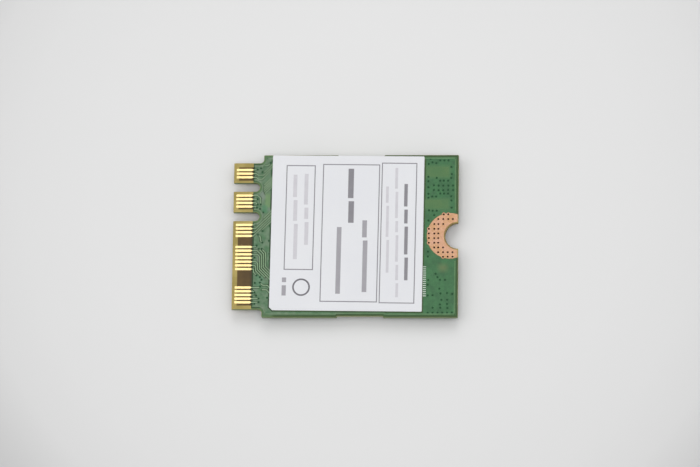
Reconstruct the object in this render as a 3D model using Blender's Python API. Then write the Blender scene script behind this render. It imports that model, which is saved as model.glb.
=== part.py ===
"""Plug-in laptop Wi-Fi card, 22 mm wide and 30 mm long.

The card lies with its label side up. +X runs from the contact edge to the screw end, +Y across the
card and +Z up through the label. The origin is at the middle of the card, on the surface that the
shield lid rests on. Sizes are in metres.
"""
import math

import bmesh
import bpy
from mathutils import Vector

MM = 0.001

# Board: the laminate, with its solder mask and plating
BOARD_LENGTH = 30.0 * MM
BOARD_WIDTH = 22.0 * MM
LAMINATE_THICKNESS = 0.74 * MM
MASK_THICKNESS = 0.045 * MM
PLATING_THICKNESS = 0.03 * MM
BOARD_CORNER_RADIUS = 0.12 * MM

# Contact tongue and its two key notches
TONGUE_LENGTH = 4.0 * MM
SHOULDER_STEP = 1.075 * MM
SHOULDER_FILLET = 0.5 * MM
NOTCH_WIDTH = 1.2 * MM
NOTCH_DEPTH = 3.5 * MM
UPPER_NOTCH_PLACE = 6.625 * MM
LOWER_NOTCH_PLACE = 2.625 * MM
EDGE_BEVEL_LENGTH = 0.35 * MM
EDGE_BEVEL_DEPTH = 0.12 * MM

# Contact fingers: each group gives its first place and its count, in steps of the pitch
FINGER_PITCH = 0.5 * MM
FINGER_WIDTH = 0.35 * MM
FINGER_SETBACK = 0.37 * MM
FINGER_END = 2.65 * MM
FINGER_UNDER_MASK = 0.08 * MM
LABEL_SIDE_FIRST_FINGER = 9.0 * MM
LABEL_SIDE_FINGERS = ((0, 3), (7, 4), (15, 4), (21, 7), (32, 5))
SHIELD_SIDE_FIRST_FINGER = 9.25 * MM
SHIELD_SIDE_FINGERS = ((0, 4), (8, 4), (16, 22))

# Screw recess, breakaway recesses and screw pads
SCREW_RECESS_DIAMETER = 3.5 * MM
BREAKAWAY_LENGTH = 6.3 * MM
BREAKAWAY_DEPTH = 0.15 * MM
BREAKAWAY_FROM_SCREW_END = 12.95 * MM
SCREW_PAD_RADIUS = 3.08 * MM
SCREW_PAD_FROM_SCREW_END = 1.08 * MM

# Label
LABEL_LENGTH = 20.25 * MM
LABEL_WIDTH = 21.05 * MM
LABEL_THICKNESS = 0.09 * MM
LABEL_FROM_CONTACT_EDGE = 15.22 * MM
LABEL_OFF_CENTRE = 0.355 * MM
LABEL_TURN = math.radians(-0.53)
LABEL_CORNER_RADIUS = 0.15 * MM
LABEL_CLIPPED_CORNER = 0.42 * MM

# Shield: a fence soldered to the board and a lid that snaps over it
SHIELD_FROM_CONTACT_EDGE = 5.4 * MM
SHIELD_FROM_SCREW_END = 5.3 * MM
SHIELD_SIDE_MARGIN = 0.9 * MM
SHIELD_CORNER_RADIUS = 0.65 * MM
SHIELD_BEND_RADIUS = 0.3 * MM
LID_THICKNESS = 0.15 * MM
LID_SKIRT = 0.98 * MM
LID_CLEARANCE = 0.04 * MM
LID_HEADROOM = 0.03 * MM
LID_SLOT_WIDTH = 0.25 * MM
LID_SLOT_DEPTH = 0.42 * MM
FRAME_THICKNESS = 0.15 * MM
FRAME_FLANGE = 0.9 * MM
BRIDGE_CLEARANCE = 0.2 * MM
FRAME_FOOT_GAP_WIDTH = 1.1 * MM
FRAME_FOOT_GAP_HEIGHT = 0.2 * MM
BRIDGE_WIDTH = 1.6 * MM
BRIDGE_PAD_RADIUS = 2.6 * MM
SNAP_PITCH = 3.1 * MM
SNAP_FROM_RIM = 0.32 * MM
SNAP_RADIUS = 0.25 * MM
SNAP_DEPTH = 0.08 * MM
SNAP_WINDOW_WIDTH = 0.7 * MM
SNAP_WINDOW_HEIGHT = 0.52 * MM

# Chips under the shield
RADIO_CHIP_SIDE = 7.0 * MM
RADIO_CHIP_HEIGHT = 0.82 * MM
FRONT_END_SIDE = 2.5 * MM
FRONT_END_HEIGHT = 0.6 * MM
CONVERTER_SIDE = 2.0 * MM
CONVERTER_HEIGHT = 0.6 * MM
MEMORY_CHIP_LENGTH = 3.0 * MM
MEMORY_CHIP_WIDTH = 2.0 * MM
MEMORY_CHIP_HEIGHT = 0.6 * MM
CHIP_EDGE_CHAMFER = 0.06 * MM
CHIP_CORNER_RADIUS = 0.1 * MM
CHIP_DIMPLE_RADIUS = 0.18 * MM
CHIP_DIMPLE_DEPTH = 0.05 * MM
CHIP_DIMPLE_INSET = 0.45 * MM

# Ceramic and wound parts with a plated cap on each end, and the crystal
CAPACITOR_LENGTH = 1.0 * MM
CAPACITOR_WIDTH = 0.5 * MM
CAPACITOR_END_CAP = 0.25 * MM
BULK_CAPACITOR_LENGTH = 1.6 * MM
BULK_CAPACITOR_WIDTH = 0.8 * MM
BULK_CAPACITOR_END_CAP = 0.35 * MM
BAND_FILTER_LENGTH = 1.6 * MM
BAND_FILTER_WIDTH = 0.8 * MM
BAND_FILTER_HEIGHT = 0.6 * MM
BAND_FILTER_END_CAP = 0.3 * MM
INDUCTOR_LENGTH = 2.0 * MM
INDUCTOR_WIDTH = 1.6 * MM
INDUCTOR_HEIGHT = 0.85 * MM
INDUCTOR_END_CAP = 0.45 * MM
END_CAP_STEP = 0.02 * MM
END_CAP_CHAMFER = 0.03 * MM
CRYSTAL_LENGTH = 2.5 * MM
CRYSTAL_WIDTH = 2.0 * MM
CRYSTAL_CASE_HEIGHT = 0.36 * MM
CRYSTAL_LID_HEIGHT = 0.19 * MM
CRYSTAL_LID_INSET = 0.16 * MM
CRYSTAL_CORNER_RADIUS = 0.22 * MM

# Antenna receptacles
RECEPTACLE_FROM_SCREW_END = 1.55 * MM
OUTER_RECEPTACLE_FROM_SIDE = 2.25 * MM
INNER_RECEPTACLE_FROM_SIDE = 6.35 * MM
BASE_MARGIN = 0.1 * MM
BASE_HEIGHT = 0.2 * MM
BASE_CORNER = 0.25 * MM
SHELL_RADIUS = 0.75 * MM
SHELL_WALL = 0.13 * MM
SHELL_HEIGHT = 0.62 * MM
SHELL_GROOVE_DEPTH = 0.04 * MM
SHELL_GROOVE_WIDTH = 0.12 * MM
SHELL_LEG_WIDTH = 0.6 * MM
SHELL_LEG_THICKNESS = 0.1 * MM
SHELL_LEG_FOOT = 0.2 * MM
CONTACT_RADIUS = 0.16 * MM
CONTACT_HEIGHT = 0.5 * MM
CONTACT_CLEARANCE = 0.03 * MM
TAIL_WIDTH = 0.3 * MM
TAIL_THICKNESS = 0.1 * MM
TAIL_FOOT = 0.25 * MM

# Capacitors outside the shield
BULK_CAPACITOR_FROM_SIDE = 2.6 * MM
COUPLING_CAPACITOR_PLACE = -1.0 * MM
COUPLING_CAPACITOR_SPACING = 0.8 * MM

ARC_STEPS = 8
SMALL_ARC_STEPS = 4
ROUND_STEPS = 32
SNAP_STEPS = 10
OVERCUT = 0.5 * MM

CONTACT_EDGE_X = -BOARD_LENGTH / 2
SCREW_END_X = BOARD_LENGTH / 2
HALF_TONGUE = BOARD_WIDTH / 2 - SHOULDER_STEP
BOARD_THICKNESS = LAMINATE_THICKNESS + 2 * MASK_THICKNESS
FRAME_HEIGHT = RADIO_CHIP_HEIGHT + BRIDGE_CLEARANCE + FRAME_THICKNESS
SHIELD_HEIGHT = FRAME_HEIGHT + LID_HEADROOM + LID_THICKNESS
BOARD_LOW_Z = SHIELD_HEIGHT
BOARD_HIGH_Z = SHIELD_HEIGHT + BOARD_THICKNESS
LAMINATE_LOW_Z = BOARD_LOW_Z + MASK_THICKNESS
LAMINATE_HIGH_Z = BOARD_HIGH_Z - MASK_THICKNESS
MASK_EDGE_X = CONTACT_EDGE_X + FINGER_END
SHIELD_LOW_X = CONTACT_EDGE_X + SHIELD_FROM_CONTACT_EDGE
SHIELD_HIGH_X = SCREW_END_X - SHIELD_FROM_SCREW_END
SHIELD_X = (SHIELD_LOW_X + SHIELD_HIGH_X) / 2
SHIELD_LENGTH = SHIELD_HIGH_X - SHIELD_LOW_X
SHIELD_WIDTH = BOARD_WIDTH - 2 * SHIELD_SIDE_MARGIN
FRAME_INSET = LID_THICKNESS + LID_CLEARANCE
ROOM_INSET = FRAME_INSET + FRAME_THICKNESS
SNAP_Z = SHIELD_HEIGHT - LID_SKIRT + SNAP_FROM_RIM
SNAP_CENTRE_OUT = SNAP_RADIUS - SNAP_DEPTH
BASE_SIZE = 2 * (SHELL_RADIUS + BASE_MARGIN)
RECEPTACLE_X = SCREW_END_X - RECEPTACLE_FROM_SCREW_END
RECEPTACLE_PLACES = (
    BOARD_WIDTH / 2 - OUTER_RECEPTACLE_FROM_SIDE,
    BOARD_WIDTH / 2 - INNER_RECEPTACLE_FROM_SIDE,
)


def clear_scene():
    for item in list(bpy.data.objects):
        bpy.data.objects.remove(item, do_unlink=True)


def make_finish(name, color, roughness, metallic=0.0):
    """A plain shader with the piece's own colour, in linear light."""
    material = bpy.data.materials.new(name)
    material.use_nodes = True
    shader = material.node_tree.nodes["Principled BSDF"]
    shader.inputs["Base Color"].default_value = (*color, 1.0)
    shader.inputs["Roughness"].default_value = roughness
    shader.inputs["Metallic"].default_value = metallic
    material.diffuse_color = (*color, 1.0)
    return material


def add_object(name, bm, material=None, smooth_angle=None):
    """Turn a bmesh into a linked object, with its faces pointing out."""
    bmesh.ops.recalc_face_normals(bm, faces=bm.faces[:])
    mesh = bpy.data.meshes.new(name)
    bm.to_mesh(mesh)
    bm.free()
    if material:
        mesh.materials.append(material)
    if smooth_angle:
        mesh.shade_smooth()
        mesh.set_sharp_from_angle(angle=smooth_angle)
    item = bpy.data.objects.new(name, mesh)
    bpy.context.scene.collection.objects.link(item)
    return item


def add_helper(name, bm):
    """A cutter or a tool for a Boolean, which isn't a piece of the card."""
    item = add_object(name, bm)
    item.hide_render = True
    item.display_type = "WIRE"
    return item


def combine(target, tool, operation):
    """Join a tool to a piece, or cut it away."""
    modifier = target.modifiers.new(tool.name, "BOOLEAN")
    modifier.operation = operation
    modifier.solver = "EXACT"
    modifier.object = tool


def arc(centre, radius, start, end, steps):
    """Points on an arc round centre, from one angle to the other, in degrees."""
    points = []
    for index in range(steps + 1):
        angle = math.radians(start + (end - start) * index / steps)
        points.append((centre[0] + radius * math.cos(angle), centre[1] + radius * math.sin(angle)))
    return points


def circle(centre, radius, steps):
    return arc(centre, radius, 0, 360, steps)[:-1]


def rounded_rectangle(half_x, half_y, radius, steps=SMALL_ARC_STEPS):
    """Outline of a rectangle with round corners, anticlockwise."""
    x, y = half_x - radius, half_y - radius
    outline = arc((x, y), radius, 0, 90, steps)
    outline += arc((-x, y), radius, 90, 180, steps)
    outline += arc((-x, -y), radius, 180, 270, steps)
    outline += arc((x, -y), radius, 270, 360, steps)
    return outline


def add_loft(bm, rings):
    """Closed skin through rings of equally many points, capped at both ends."""
    loops = [[bm.verts.new(point) for point in ring] for ring in rings]
    count = len(loops[0])
    for lower, upper in zip(loops, loops[1:]):
        for index in range(count):
            following = (index + 1) % count
            bm.faces.new((lower[index], lower[following], upper[following], upper[index]))
    bm.faces.new(loops[0])
    bm.faces.new(loops[-1])


def add_prism(bm, outline, low, high):
    """An outline in X and Y, extruded along Z."""
    add_loft(bm, [[(x, y, z) for x, y in outline] for z in (low, high)])


def add_block(bm, low, high):
    """A box between two corners."""
    outline = ((low[0], low[1]), (high[0], low[1]), (high[0], high[1]), (low[0], high[1]))
    add_prism(bm, outline, low[2], high[2])


def add_lathe(bm, profile):
    """A closed profile of radius and height, turned once round Z."""
    columns = []
    for index in range(ROUND_STEPS):
        angle = 2 * math.pi * index / ROUND_STEPS
        columns.append([bm.verts.new((r * math.cos(angle), r * math.sin(angle), z)) for r, z in profile])
    count = len(profile)
    for index, column in enumerate(columns):
        neighbour = columns[(index + 1) % ROUND_STEPS]
        for row in range(count):
            below = (row + 1) % count
            bm.faces.new((column[row], neighbour[row], neighbour[below], column[below]))


def spread(sizes, low, high):
    """Centres of pieces set in a line between two walls, with equal gaps."""
    gap = (high - low - sum(sizes)) / (len(sizes) + 1)
    centres = []
    start = low + gap
    for size in sizes:
        centres.append(start + size / 2)
        start += size + gap
    return centres


def seat(piece, side, x, y, turn=0.0):
    """Set a piece on the board's shield side, at the card's own X and Y."""
    piece.parent = side
    piece.location = (x, -y, 0)
    piece.rotation_euler.z = turn


def long_edge(side):
    """Corner, breakaway recess and corner along the edge at +Y (side 1) or -Y (side -1), in +X order."""
    edge = side * BOARD_WIDTH / 2
    floor = edge - side * BREAKAWAY_DEPTH
    shoulder = CONTACT_EDGE_X + TONGUE_LENGTH
    recess_end = SCREW_END_X - BREAKAWAY_FROM_SCREW_END + BREAKAWAY_LENGTH / 2
    recess_start = recess_end - BREAKAWAY_LENGTH
    radius = BOARD_CORNER_RADIUS
    start = arc((shoulder + radius, edge - side * radius), radius, 180, 180 - side * 90, SMALL_ARC_STEPS)
    end = arc((SCREW_END_X - radius, edge - side * radius), radius, side * 90, 0, SMALL_ARC_STEPS)
    recess = [
        (recess_start, edge),
        (recess_start + BREAKAWAY_DEPTH, floor),
        (recess_end - BREAKAWAY_DEPTH, floor),
        (recess_end, edge),
    ]
    return start + recess + end


def board_outline():
    """The routed edge of the card, anticlockwise from the tongue's lower corner."""
    fillet_x = CONTACT_EDGE_X + TONGUE_LENGTH - SHOULDER_FILLET
    fillet_y = HALF_TONGUE + SHOULDER_FILLET
    outline = [(CONTACT_EDGE_X, -HALF_TONGUE)]
    outline += arc((fillet_x, -fillet_y), SHOULDER_FILLET, 90, 0, ARC_STEPS)
    outline += long_edge(-1)
    outline += arc((SCREW_END_X, 0), SCREW_RECESS_DIAMETER / 2, 270, 90, 3 * ARC_STEPS)
    outline += reversed(long_edge(1))
    outline += arc((fillet_x, fillet_y), SHOULDER_FILLET, 0, -90, ARC_STEPS)
    outline.append((CONTACT_EDGE_X, HALF_TONGUE))
    round_end_x = CONTACT_EDGE_X + NOTCH_DEPTH - NOTCH_WIDTH / 2
    for place in (UPPER_NOTCH_PLACE, LOWER_NOTCH_PLACE):
        outline.append((CONTACT_EDGE_X, place + NOTCH_WIDTH / 2))
        outline += arc((round_end_x, place), NOTCH_WIDTH / 2, 90, -90, 2 * ARC_STEPS)
        outline.append((CONTACT_EDGE_X, place - NOTCH_WIDTH / 2))
    return outline


def contact_zone_cutter():
    """Takes the solder mask off both faces of the tongue, so the fingers stand on bare laminate."""
    bm = bmesh.new()
    half_width = BOARD_WIDTH / 2 + OVERCUT
    for low, high in (
        (BOARD_LOW_Z - OVERCUT, LAMINATE_LOW_Z),
        (LAMINATE_HIGH_Z, BOARD_HIGH_Z + OVERCUT),
    ):
        add_block(bm, (CONTACT_EDGE_X - OVERCUT, -half_width, low), (MASK_EDGE_X, half_width, high))
    return add_helper("contact_zone_cutter", bm)


def edge_bevel_cutter():
    """Two wedges that bevel the contact edge, so the card enters its socket easily."""
    bm = bmesh.new()
    half_width = BOARD_WIDTH / 2
    for face, side in ((LAMINATE_HIGH_Z, 1), (LAMINATE_LOW_Z, -1)):
        wedge = [
            (CONTACT_EDGE_X - EDGE_BEVEL_LENGTH, face - side * 2 * EDGE_BEVEL_DEPTH),
            (CONTACT_EDGE_X + 2 * EDGE_BEVEL_LENGTH, face + side * EDGE_BEVEL_DEPTH),
            (CONTACT_EDGE_X - EDGE_BEVEL_LENGTH, face + side * EDGE_BEVEL_DEPTH),
        ]
        add_loft(bm, [[(x, y, z) for x, z in wedge] for y in (-half_width, half_width)])
    return add_helper("edge_bevel_cutter", bm)


def contact_fingers():
    """Plated contact fingers of both faces, rooted in the laminate and run in under the mask."""
    bm = bmesh.new()
    start = CONTACT_EDGE_X + FINGER_SETBACK
    end = MASK_EDGE_X + FINGER_UNDER_MASK
    root = LAMINATE_THICKNESS / 4
    label_side = (LAMINATE_HIGH_Z - root, LAMINATE_HIGH_Z + PLATING_THICKNESS)
    shield_side = (LAMINATE_LOW_Z - PLATING_THICKNESS, LAMINATE_LOW_Z + root)
    for first, groups, (low, high) in (
        (LABEL_SIDE_FIRST_FINGER, LABEL_SIDE_FINGERS, label_side),
        (SHIELD_SIDE_FIRST_FINGER, SHIELD_SIDE_FINGERS, shield_side),
    ):
        for group_start, count in groups:
            for index in range(group_start, group_start + count):
                y = first - index * FINGER_PITCH
                if abs(y) + FINGER_WIDTH / 2 < HALF_TONGUE:
                    add_block(bm, (start, y - FINGER_WIDTH / 2, low), (end, y + FINGER_WIDTH / 2, high))
    return add_helper("contact_fingers", bm)


def screw_pad_cutter():
    """Opens the solder mask over the copper pad round the screw recess, on both faces."""
    bm = bmesh.new()
    centre = (SCREW_END_X - SCREW_PAD_FROM_SCREW_END, 0)
    disc = circle(centre, SCREW_PAD_RADIUS, 2 * ROUND_STEPS)
    add_prism(bm, disc, LAMINATE_HIGH_Z + PLATING_THICKNESS, BOARD_HIGH_Z + OVERCUT)
    add_prism(bm, disc, BOARD_LOW_Z - OVERCUT, LAMINATE_LOW_Z - PLATING_THICKNESS)
    return add_helper("screw_pad_cutter", bm)


def make_circuit_board(material):
    bm = bmesh.new()
    add_prism(bm, board_outline(), BOARD_LOW_Z, BOARD_HIGH_Z)
    board = add_object("circuit_board", bm, material)
    combine(board, contact_zone_cutter(), "DIFFERENCE")
    combine(board, edge_bevel_cutter(), "DIFFERENCE")
    combine(board, contact_fingers(), "UNION")
    combine(board, screw_pad_cutter(), "DIFFERENCE")
    return board


def make_label(material):
    """The paper label, stuck on slightly askew, with one clipped corner."""
    half_x, half_y = LABEL_LENGTH / 2, LABEL_WIDTH / 2
    radius, clip = LABEL_CORNER_RADIUS, LABEL_CLIPPED_CORNER
    outline = arc((half_x - radius, half_y - radius), radius, 0, 90, SMALL_ARC_STEPS)
    outline += arc((radius - half_x, half_y - radius), radius, 90, 180, SMALL_ARC_STEPS)
    outline += [(-half_x, clip - half_y), (clip - half_x, -half_y)]
    outline += arc((half_x - radius, radius - half_y), radius, 270, 360, SMALL_ARC_STEPS)
    bm = bmesh.new()
    add_prism(bm, outline, 0, LABEL_THICKNESS)
    label = add_object("label", bm, material)
    label.location = (CONTACT_EDGE_X + LABEL_FROM_CONTACT_EDGE, LABEL_OFF_CENTRE, BOARD_HIGH_Z)
    label.rotation_euler.z = LABEL_TURN
    return label


def bent_tray(bm, inset, low, high, thickness, bend):
    """A folded sheet-metal tray: a flat face at the height high, with walls that reach down to low."""
    half_x = SHIELD_LENGTH / 2 - inset
    half_y = SHIELD_WIDTH / 2 - inset
    corner = SHIELD_CORNER_RADIUS - inset

    def ring(step_in, z):
        outline = rounded_rectangle(half_x - step_in, half_y - step_in, corner - step_in)
        return [(x, y, z) for x, y in outline]

    def wall(radius, first_inset, face):
        rings = [ring(first_inset, low)]
        for index in range(SMALL_ARC_STEPS + 1):
            angle = math.pi / 2 * index / SMALL_ARC_STEPS
            step_in = first_inset + radius * (1 - math.cos(angle))
            rings.append(ring(step_in, face - radius + radius * math.sin(angle)))
        return rings

    outside = wall(bend, 0, high)
    inside = wall(bend - thickness, thickness, high - thickness)
    add_loft(bm, inside[::-1] + outside)


def snap_places(length):
    """Places of the snap dimples along a wall, in equal steps about its middle."""
    count = int((length - 2 * SHIELD_CORNER_RADIUS - SNAP_WINDOW_WIDTH) / SNAP_PITCH) + 1
    return [(index - (count - 1) / 2) * SNAP_PITCH for index in range(count)]


def gap_places(length):
    """Places midway between neighbouring snap dimples."""
    places = snap_places(length)
    return [(first + second) / 2 for first, second in zip(places, places[1:])]


def snap_walls():
    """Middle, outward direction and snap places of each of the shield's four walls."""
    for sign in (1, -1):
        yield Vector((sign * SHIELD_LENGTH / 2, 0, 0)), Vector((sign, 0, 0)), snap_places(SHIELD_WIDTH)
        yield Vector((0, sign * SHIELD_WIDTH / 2, 0)), Vector((0, sign, 0)), snap_places(SHIELD_LENGTH)


def snap_dome(bm, foot, outward, radius, reach):
    """A dome pressed into a wall: a spun arc from its pole inside the wall to the ring at its reach."""
    along = Vector((-outward.y, outward.x, 0))
    up = Vector((0, 0, 1))
    centre = foot + outward * SNAP_CENTRE_OUT
    widest = math.acos((SNAP_CENTRE_OUT - reach) / radius)
    rings = []
    for index in range(1, SMALL_ARC_STEPS + 1):
        angle = widest * index / SMALL_ARC_STEPS
        middle = centre - outward * radius * math.cos(angle)
        turned = circle((0, 0), radius * math.sin(angle), SNAP_STEPS)
        rings.append([middle + along * a + up * b for a, b in turned])
    add_loft(bm, rings)


def lid_snaps(name, radius, reach):
    bm = bmesh.new()
    for middle, outward, places in snap_walls():
        along = Vector((-outward.y, outward.x, 0))
        for place in places:
            foot = middle + along * place + Vector((0, 0, SNAP_Z))
            snap_dome(bm, foot, outward, radius, reach)
    return add_helper(name, bm)


def wall_cutters(name, width, low, high, places):
    """Blocks that cut through opposite walls at once, at the places that a wall of each length has."""
    half_x = SHIELD_LENGTH / 2 + OVERCUT
    half_y = SHIELD_WIDTH / 2 + OVERCUT
    across, along = bmesh.new(), bmesh.new()
    for y in places(SHIELD_WIDTH):
        add_block(across, (-half_x, y - width / 2, low), (half_x, y + width / 2, high))
    for x in places(SHIELD_LENGTH):
        add_block(along, (x - width / 2, -half_y, low), (x + width / 2, half_y, high))
    return add_helper(name + "_across", across), add_helper(name + "_along", along)


def make_shield_lid(material, side):
    """Stamped lid: a tray with a slotted skirt and a row of snap dimples in each wall."""
    bm = bmesh.new()
    skirt_low = SHIELD_HEIGHT - LID_SKIRT
    bent_tray(bm, 0, skirt_low, SHIELD_HEIGHT, LID_THICKNESS, SHIELD_BEND_RADIUS)
    lid = add_object("shield_lid", bm, material, math.radians(40))
    bump_radius = SNAP_RADIUS + LID_THICKNESS
    tools = [
        (lid_snaps("snap_bumps", bump_radius, -LID_THICKNESS / 3), "UNION"),
        (lid_snaps("snap_dents", SNAP_RADIUS, SNAP_CENTRE_OUT / 2), "DIFFERENCE"),
    ]
    slot_top = skirt_low + LID_SLOT_DEPTH
    slots = wall_cutters("lid_slots", LID_SLOT_WIDTH, skirt_low - OVERCUT, slot_top, gap_places)
    tools += [(slot, "DIFFERENCE") for slot in slots]
    for tool, operation in tools:
        combine(lid, tool, operation)
        seat(tool, side, SHIELD_X, 0)
    seat(lid, side, SHIELD_X, 0)
    return lid


def frame_opening():
    """What is punched out of the fence's top: a window each side of the pick-up bridge."""
    bm = bmesh.new()
    half_x = SHIELD_LENGTH / 2 - FRAME_INSET - FRAME_FLANGE
    half_y = SHIELD_WIDTH / 2 - FRAME_INSET - FRAME_FLANGE
    low, high = FRAME_HEIGHT - FRAME_THICKNESS - OVERCUT / 2, FRAME_HEIGHT + OVERCUT
    add_prism(bm, rounded_rectangle(half_x, half_y, SHIELD_CORNER_RADIUS), low, high)
    opening = add_helper("frame_opening", bm)
    bm = bmesh.new()
    strip = rounded_rectangle(BRIDGE_WIDTH / 2, half_y + OVERCUT, BRIDGE_WIDTH / 4)
    add_prism(bm, strip, low - OVERCUT, high + OVERCUT)
    bridge = add_helper("frame_bridge", bm)
    bm = bmesh.new()
    add_prism(bm, circle((0, 0), BRIDGE_PAD_RADIUS, ROUND_STEPS), low - OVERCUT / 2, high + OVERCUT / 2)
    pad = add_helper("frame_bridge_pad", bm)
    combine(opening, bridge, "DIFFERENCE")
    combine(opening, pad, "DIFFERENCE")
    return opening, bridge, pad


def make_shield_frame(material, side):
    """Stamped fence: walls on the board with gaps in their foot, snap windows and an open flanged top."""
    bm = bmesh.new()
    bend = SHIELD_BEND_RADIUS - FRAME_INSET + FRAME_THICKNESS
    bent_tray(bm, FRAME_INSET, 0, FRAME_HEIGHT, FRAME_THICKNESS, bend)
    frame = add_object("shield_frame", bm, material, math.radians(40))
    opening, bridge, pad = frame_opening()
    half_window = SNAP_WINDOW_HEIGHT / 2
    window_low, window_high = SNAP_Z - half_window, SNAP_Z + half_window
    windows = wall_cutters("snap_windows", SNAP_WINDOW_WIDTH, window_low, window_high, snap_places)
    gaps = wall_cutters("foot_gaps", FRAME_FOOT_GAP_WIDTH, -OVERCUT, FRAME_FOOT_GAP_HEIGHT, gap_places)
    for tool in (opening, *windows, *gaps):
        combine(frame, tool, "DIFFERENCE")
        seat(tool, side, SHIELD_X, 0)
    seat(bridge, side, SHIELD_X, 0)
    seat(pad, side, SHIELD_X, 0)
    seat(frame, side, SHIELD_X, 0)
    return frame


def make_chip(name, length, width, height, material):
    """Moulded chip package with chamfered top edges and a dimple at its first pin."""
    half_x, half_y = length / 2, width / 2
    rings = []
    for step_in, z in ((0, 0), (0, height - CHIP_EDGE_CHAMFER), (CHIP_EDGE_CHAMFER, height)):
        outline = rounded_rectangle(half_x - step_in, half_y - step_in, CHIP_CORNER_RADIUS - step_in)
        rings.append([(x, y, z) for x, y in outline])
    bm = bmesh.new()
    add_loft(bm, rings)
    chip = add_object(name, bm, material)
    bm = bmesh.new()
    centre = (CHIP_DIMPLE_INSET - half_x, half_y - CHIP_DIMPLE_INSET)
    dimple = circle(centre, CHIP_DIMPLE_RADIUS, ROUND_STEPS // 2)
    add_prism(bm, dimple, height - CHIP_DIMPLE_DEPTH, height + OVERCUT)
    cutter = add_helper(name + "_dimple", bm)
    cutter.parent = chip
    combine(chip, cutter, "DIFFERENCE")
    return chip


def make_two_ended(name, length, width, height, cap, material):
    """Ceramic or wound part with a plated cap on each end, a step proud of its body."""
    stations = (
        (-length / 2, END_CAP_CHAMFER),
        (-length / 2 + END_CAP_CHAMFER, 0),
        (-length / 2 + cap, 0),
        (-length / 2 + cap, END_CAP_STEP),
    )
    stations += tuple((-x, step_in) for x, step_in in reversed(stations))
    rings = []
    for x, step_in in stations:
        half_y, low, high = width / 2 - step_in, step_in, height - step_in
        rings.append([(x, -half_y, low), (x, half_y, low), (x, half_y, high), (x, -half_y, high)])
    bm = bmesh.new()
    add_loft(bm, rings)
    return add_object(name, bm, material)


def make_crystal(name, material):
    """Ceramic case with rounded corners and a seam-welded metal lid set in from its rim."""
    half_x, half_y = CRYSTAL_LENGTH / 2, CRYSTAL_WIDTH / 2
    rim = CRYSTAL_LID_INSET / 2
    height = CRYSTAL_CASE_HEIGHT + CRYSTAL_LID_HEIGHT
    stations = (
        (0, 0),
        (0, CRYSTAL_CASE_HEIGHT),
        (rim, CRYSTAL_CASE_HEIGHT),
        (rim, height - rim / 2),
        (CRYSTAL_LID_INSET, height),
    )
    rings = []
    for step_in, z in stations:
        outline = rounded_rectangle(half_x - step_in, half_y - step_in, CRYSTAL_CORNER_RADIUS - step_in)
        rings.append([(x, y, z) for x, y in outline])
    bm = bmesh.new()
    add_loft(bm, rings)
    return add_object(name, bm, material)


def make_receptacle_base(name, material):
    """Moulded block with cut corners, a hole for the contact and a channel for its tail."""
    half = BASE_SIZE / 2
    bm = bmesh.new()
    add_prism(bm, rounded_rectangle(half, half, BASE_CORNER, 1), 0, BASE_HEIGHT)
    base = add_object(name, bm, material)
    bm = bmesh.new()
    hole = circle((0, 0), CONTACT_RADIUS + CONTACT_CLEARANCE, ROUND_STEPS // 2)
    add_prism(bm, hole, -OVERCUT, BASE_HEIGHT + OVERCUT)
    hole_cutter = add_helper(name + "_hole", bm)
    bm = bmesh.new()
    half_channel = TAIL_WIDTH / 2 + CONTACT_CLEARANCE
    channel_top = TAIL_THICKNESS + CONTACT_CLEARANCE
    add_block(bm, (0, -half_channel, -OVERCUT), (half + OVERCUT, half_channel, channel_top))
    channel_cutter = add_helper(name + "_channel", bm)
    for cutter in (hole_cutter, channel_cutter):
        cutter.parent = base
        combine(base, cutter, "DIFFERENCE")
    return base


def make_receptacle_shell(name, material):
    """Plated ring with a snap groove, on two legs that step over the base to the board."""
    inner = SHELL_RADIUS - SHELL_WALL
    groove_low = (BASE_HEIGHT + SHELL_LEG_THICKNESS + SHELL_HEIGHT) / 2 - SHELL_GROOVE_WIDTH / 2
    groove_high = groove_low + SHELL_GROOVE_WIDTH
    groove_radius = SHELL_RADIUS - SHELL_GROOVE_DEPTH
    profile = [
        (SHELL_RADIUS, BASE_HEIGHT),
        (SHELL_RADIUS, groove_low),
        (groove_radius, groove_low + SHELL_GROOVE_DEPTH / 2),
        (groove_radius, groove_high - SHELL_GROOVE_DEPTH / 2),
        (SHELL_RADIUS, groove_high),
        (SHELL_RADIUS, SHELL_HEIGHT - SHELL_GROOVE_DEPTH),
        (groove_radius, SHELL_HEIGHT),
        (inner, SHELL_HEIGHT),
        (inner, BASE_HEIGHT),
    ]
    bm = bmesh.new()
    add_lathe(bm, profile)
    shell = add_object(name, bm, material, math.radians(40))
    bm = bmesh.new()
    step_out = BASE_SIZE / 2 + CONTACT_CLEARANCE
    outside = step_out + SHELL_LEG_THICKNESS
    foot_end = outside + SHELL_LEG_FOOT
    leg_top = BASE_HEIGHT + SHELL_LEG_THICKNESS
    leg = [
        (SHELL_RADIUS - SHELL_WALL / 2, BASE_HEIGHT),
        (step_out, BASE_HEIGHT),
        (step_out, 0),
        (foot_end, 0),
        (foot_end, SHELL_LEG_THICKNESS),
        (outside, SHELL_LEG_THICKNESS),
        (outside, leg_top),
        (SHELL_RADIUS - SHELL_WALL / 2, leg_top),
    ]
    for sign in (1, -1):
        sides = (-SHELL_LEG_WIDTH / 2, SHELL_LEG_WIDTH / 2)
        add_loft(bm, [[(x, sign * y, z) for y, z in leg] for x in sides])
    legs = add_helper(name + "_legs", bm)
    legs.parent = shell
    combine(shell, legs, "UNION")
    return shell


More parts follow.
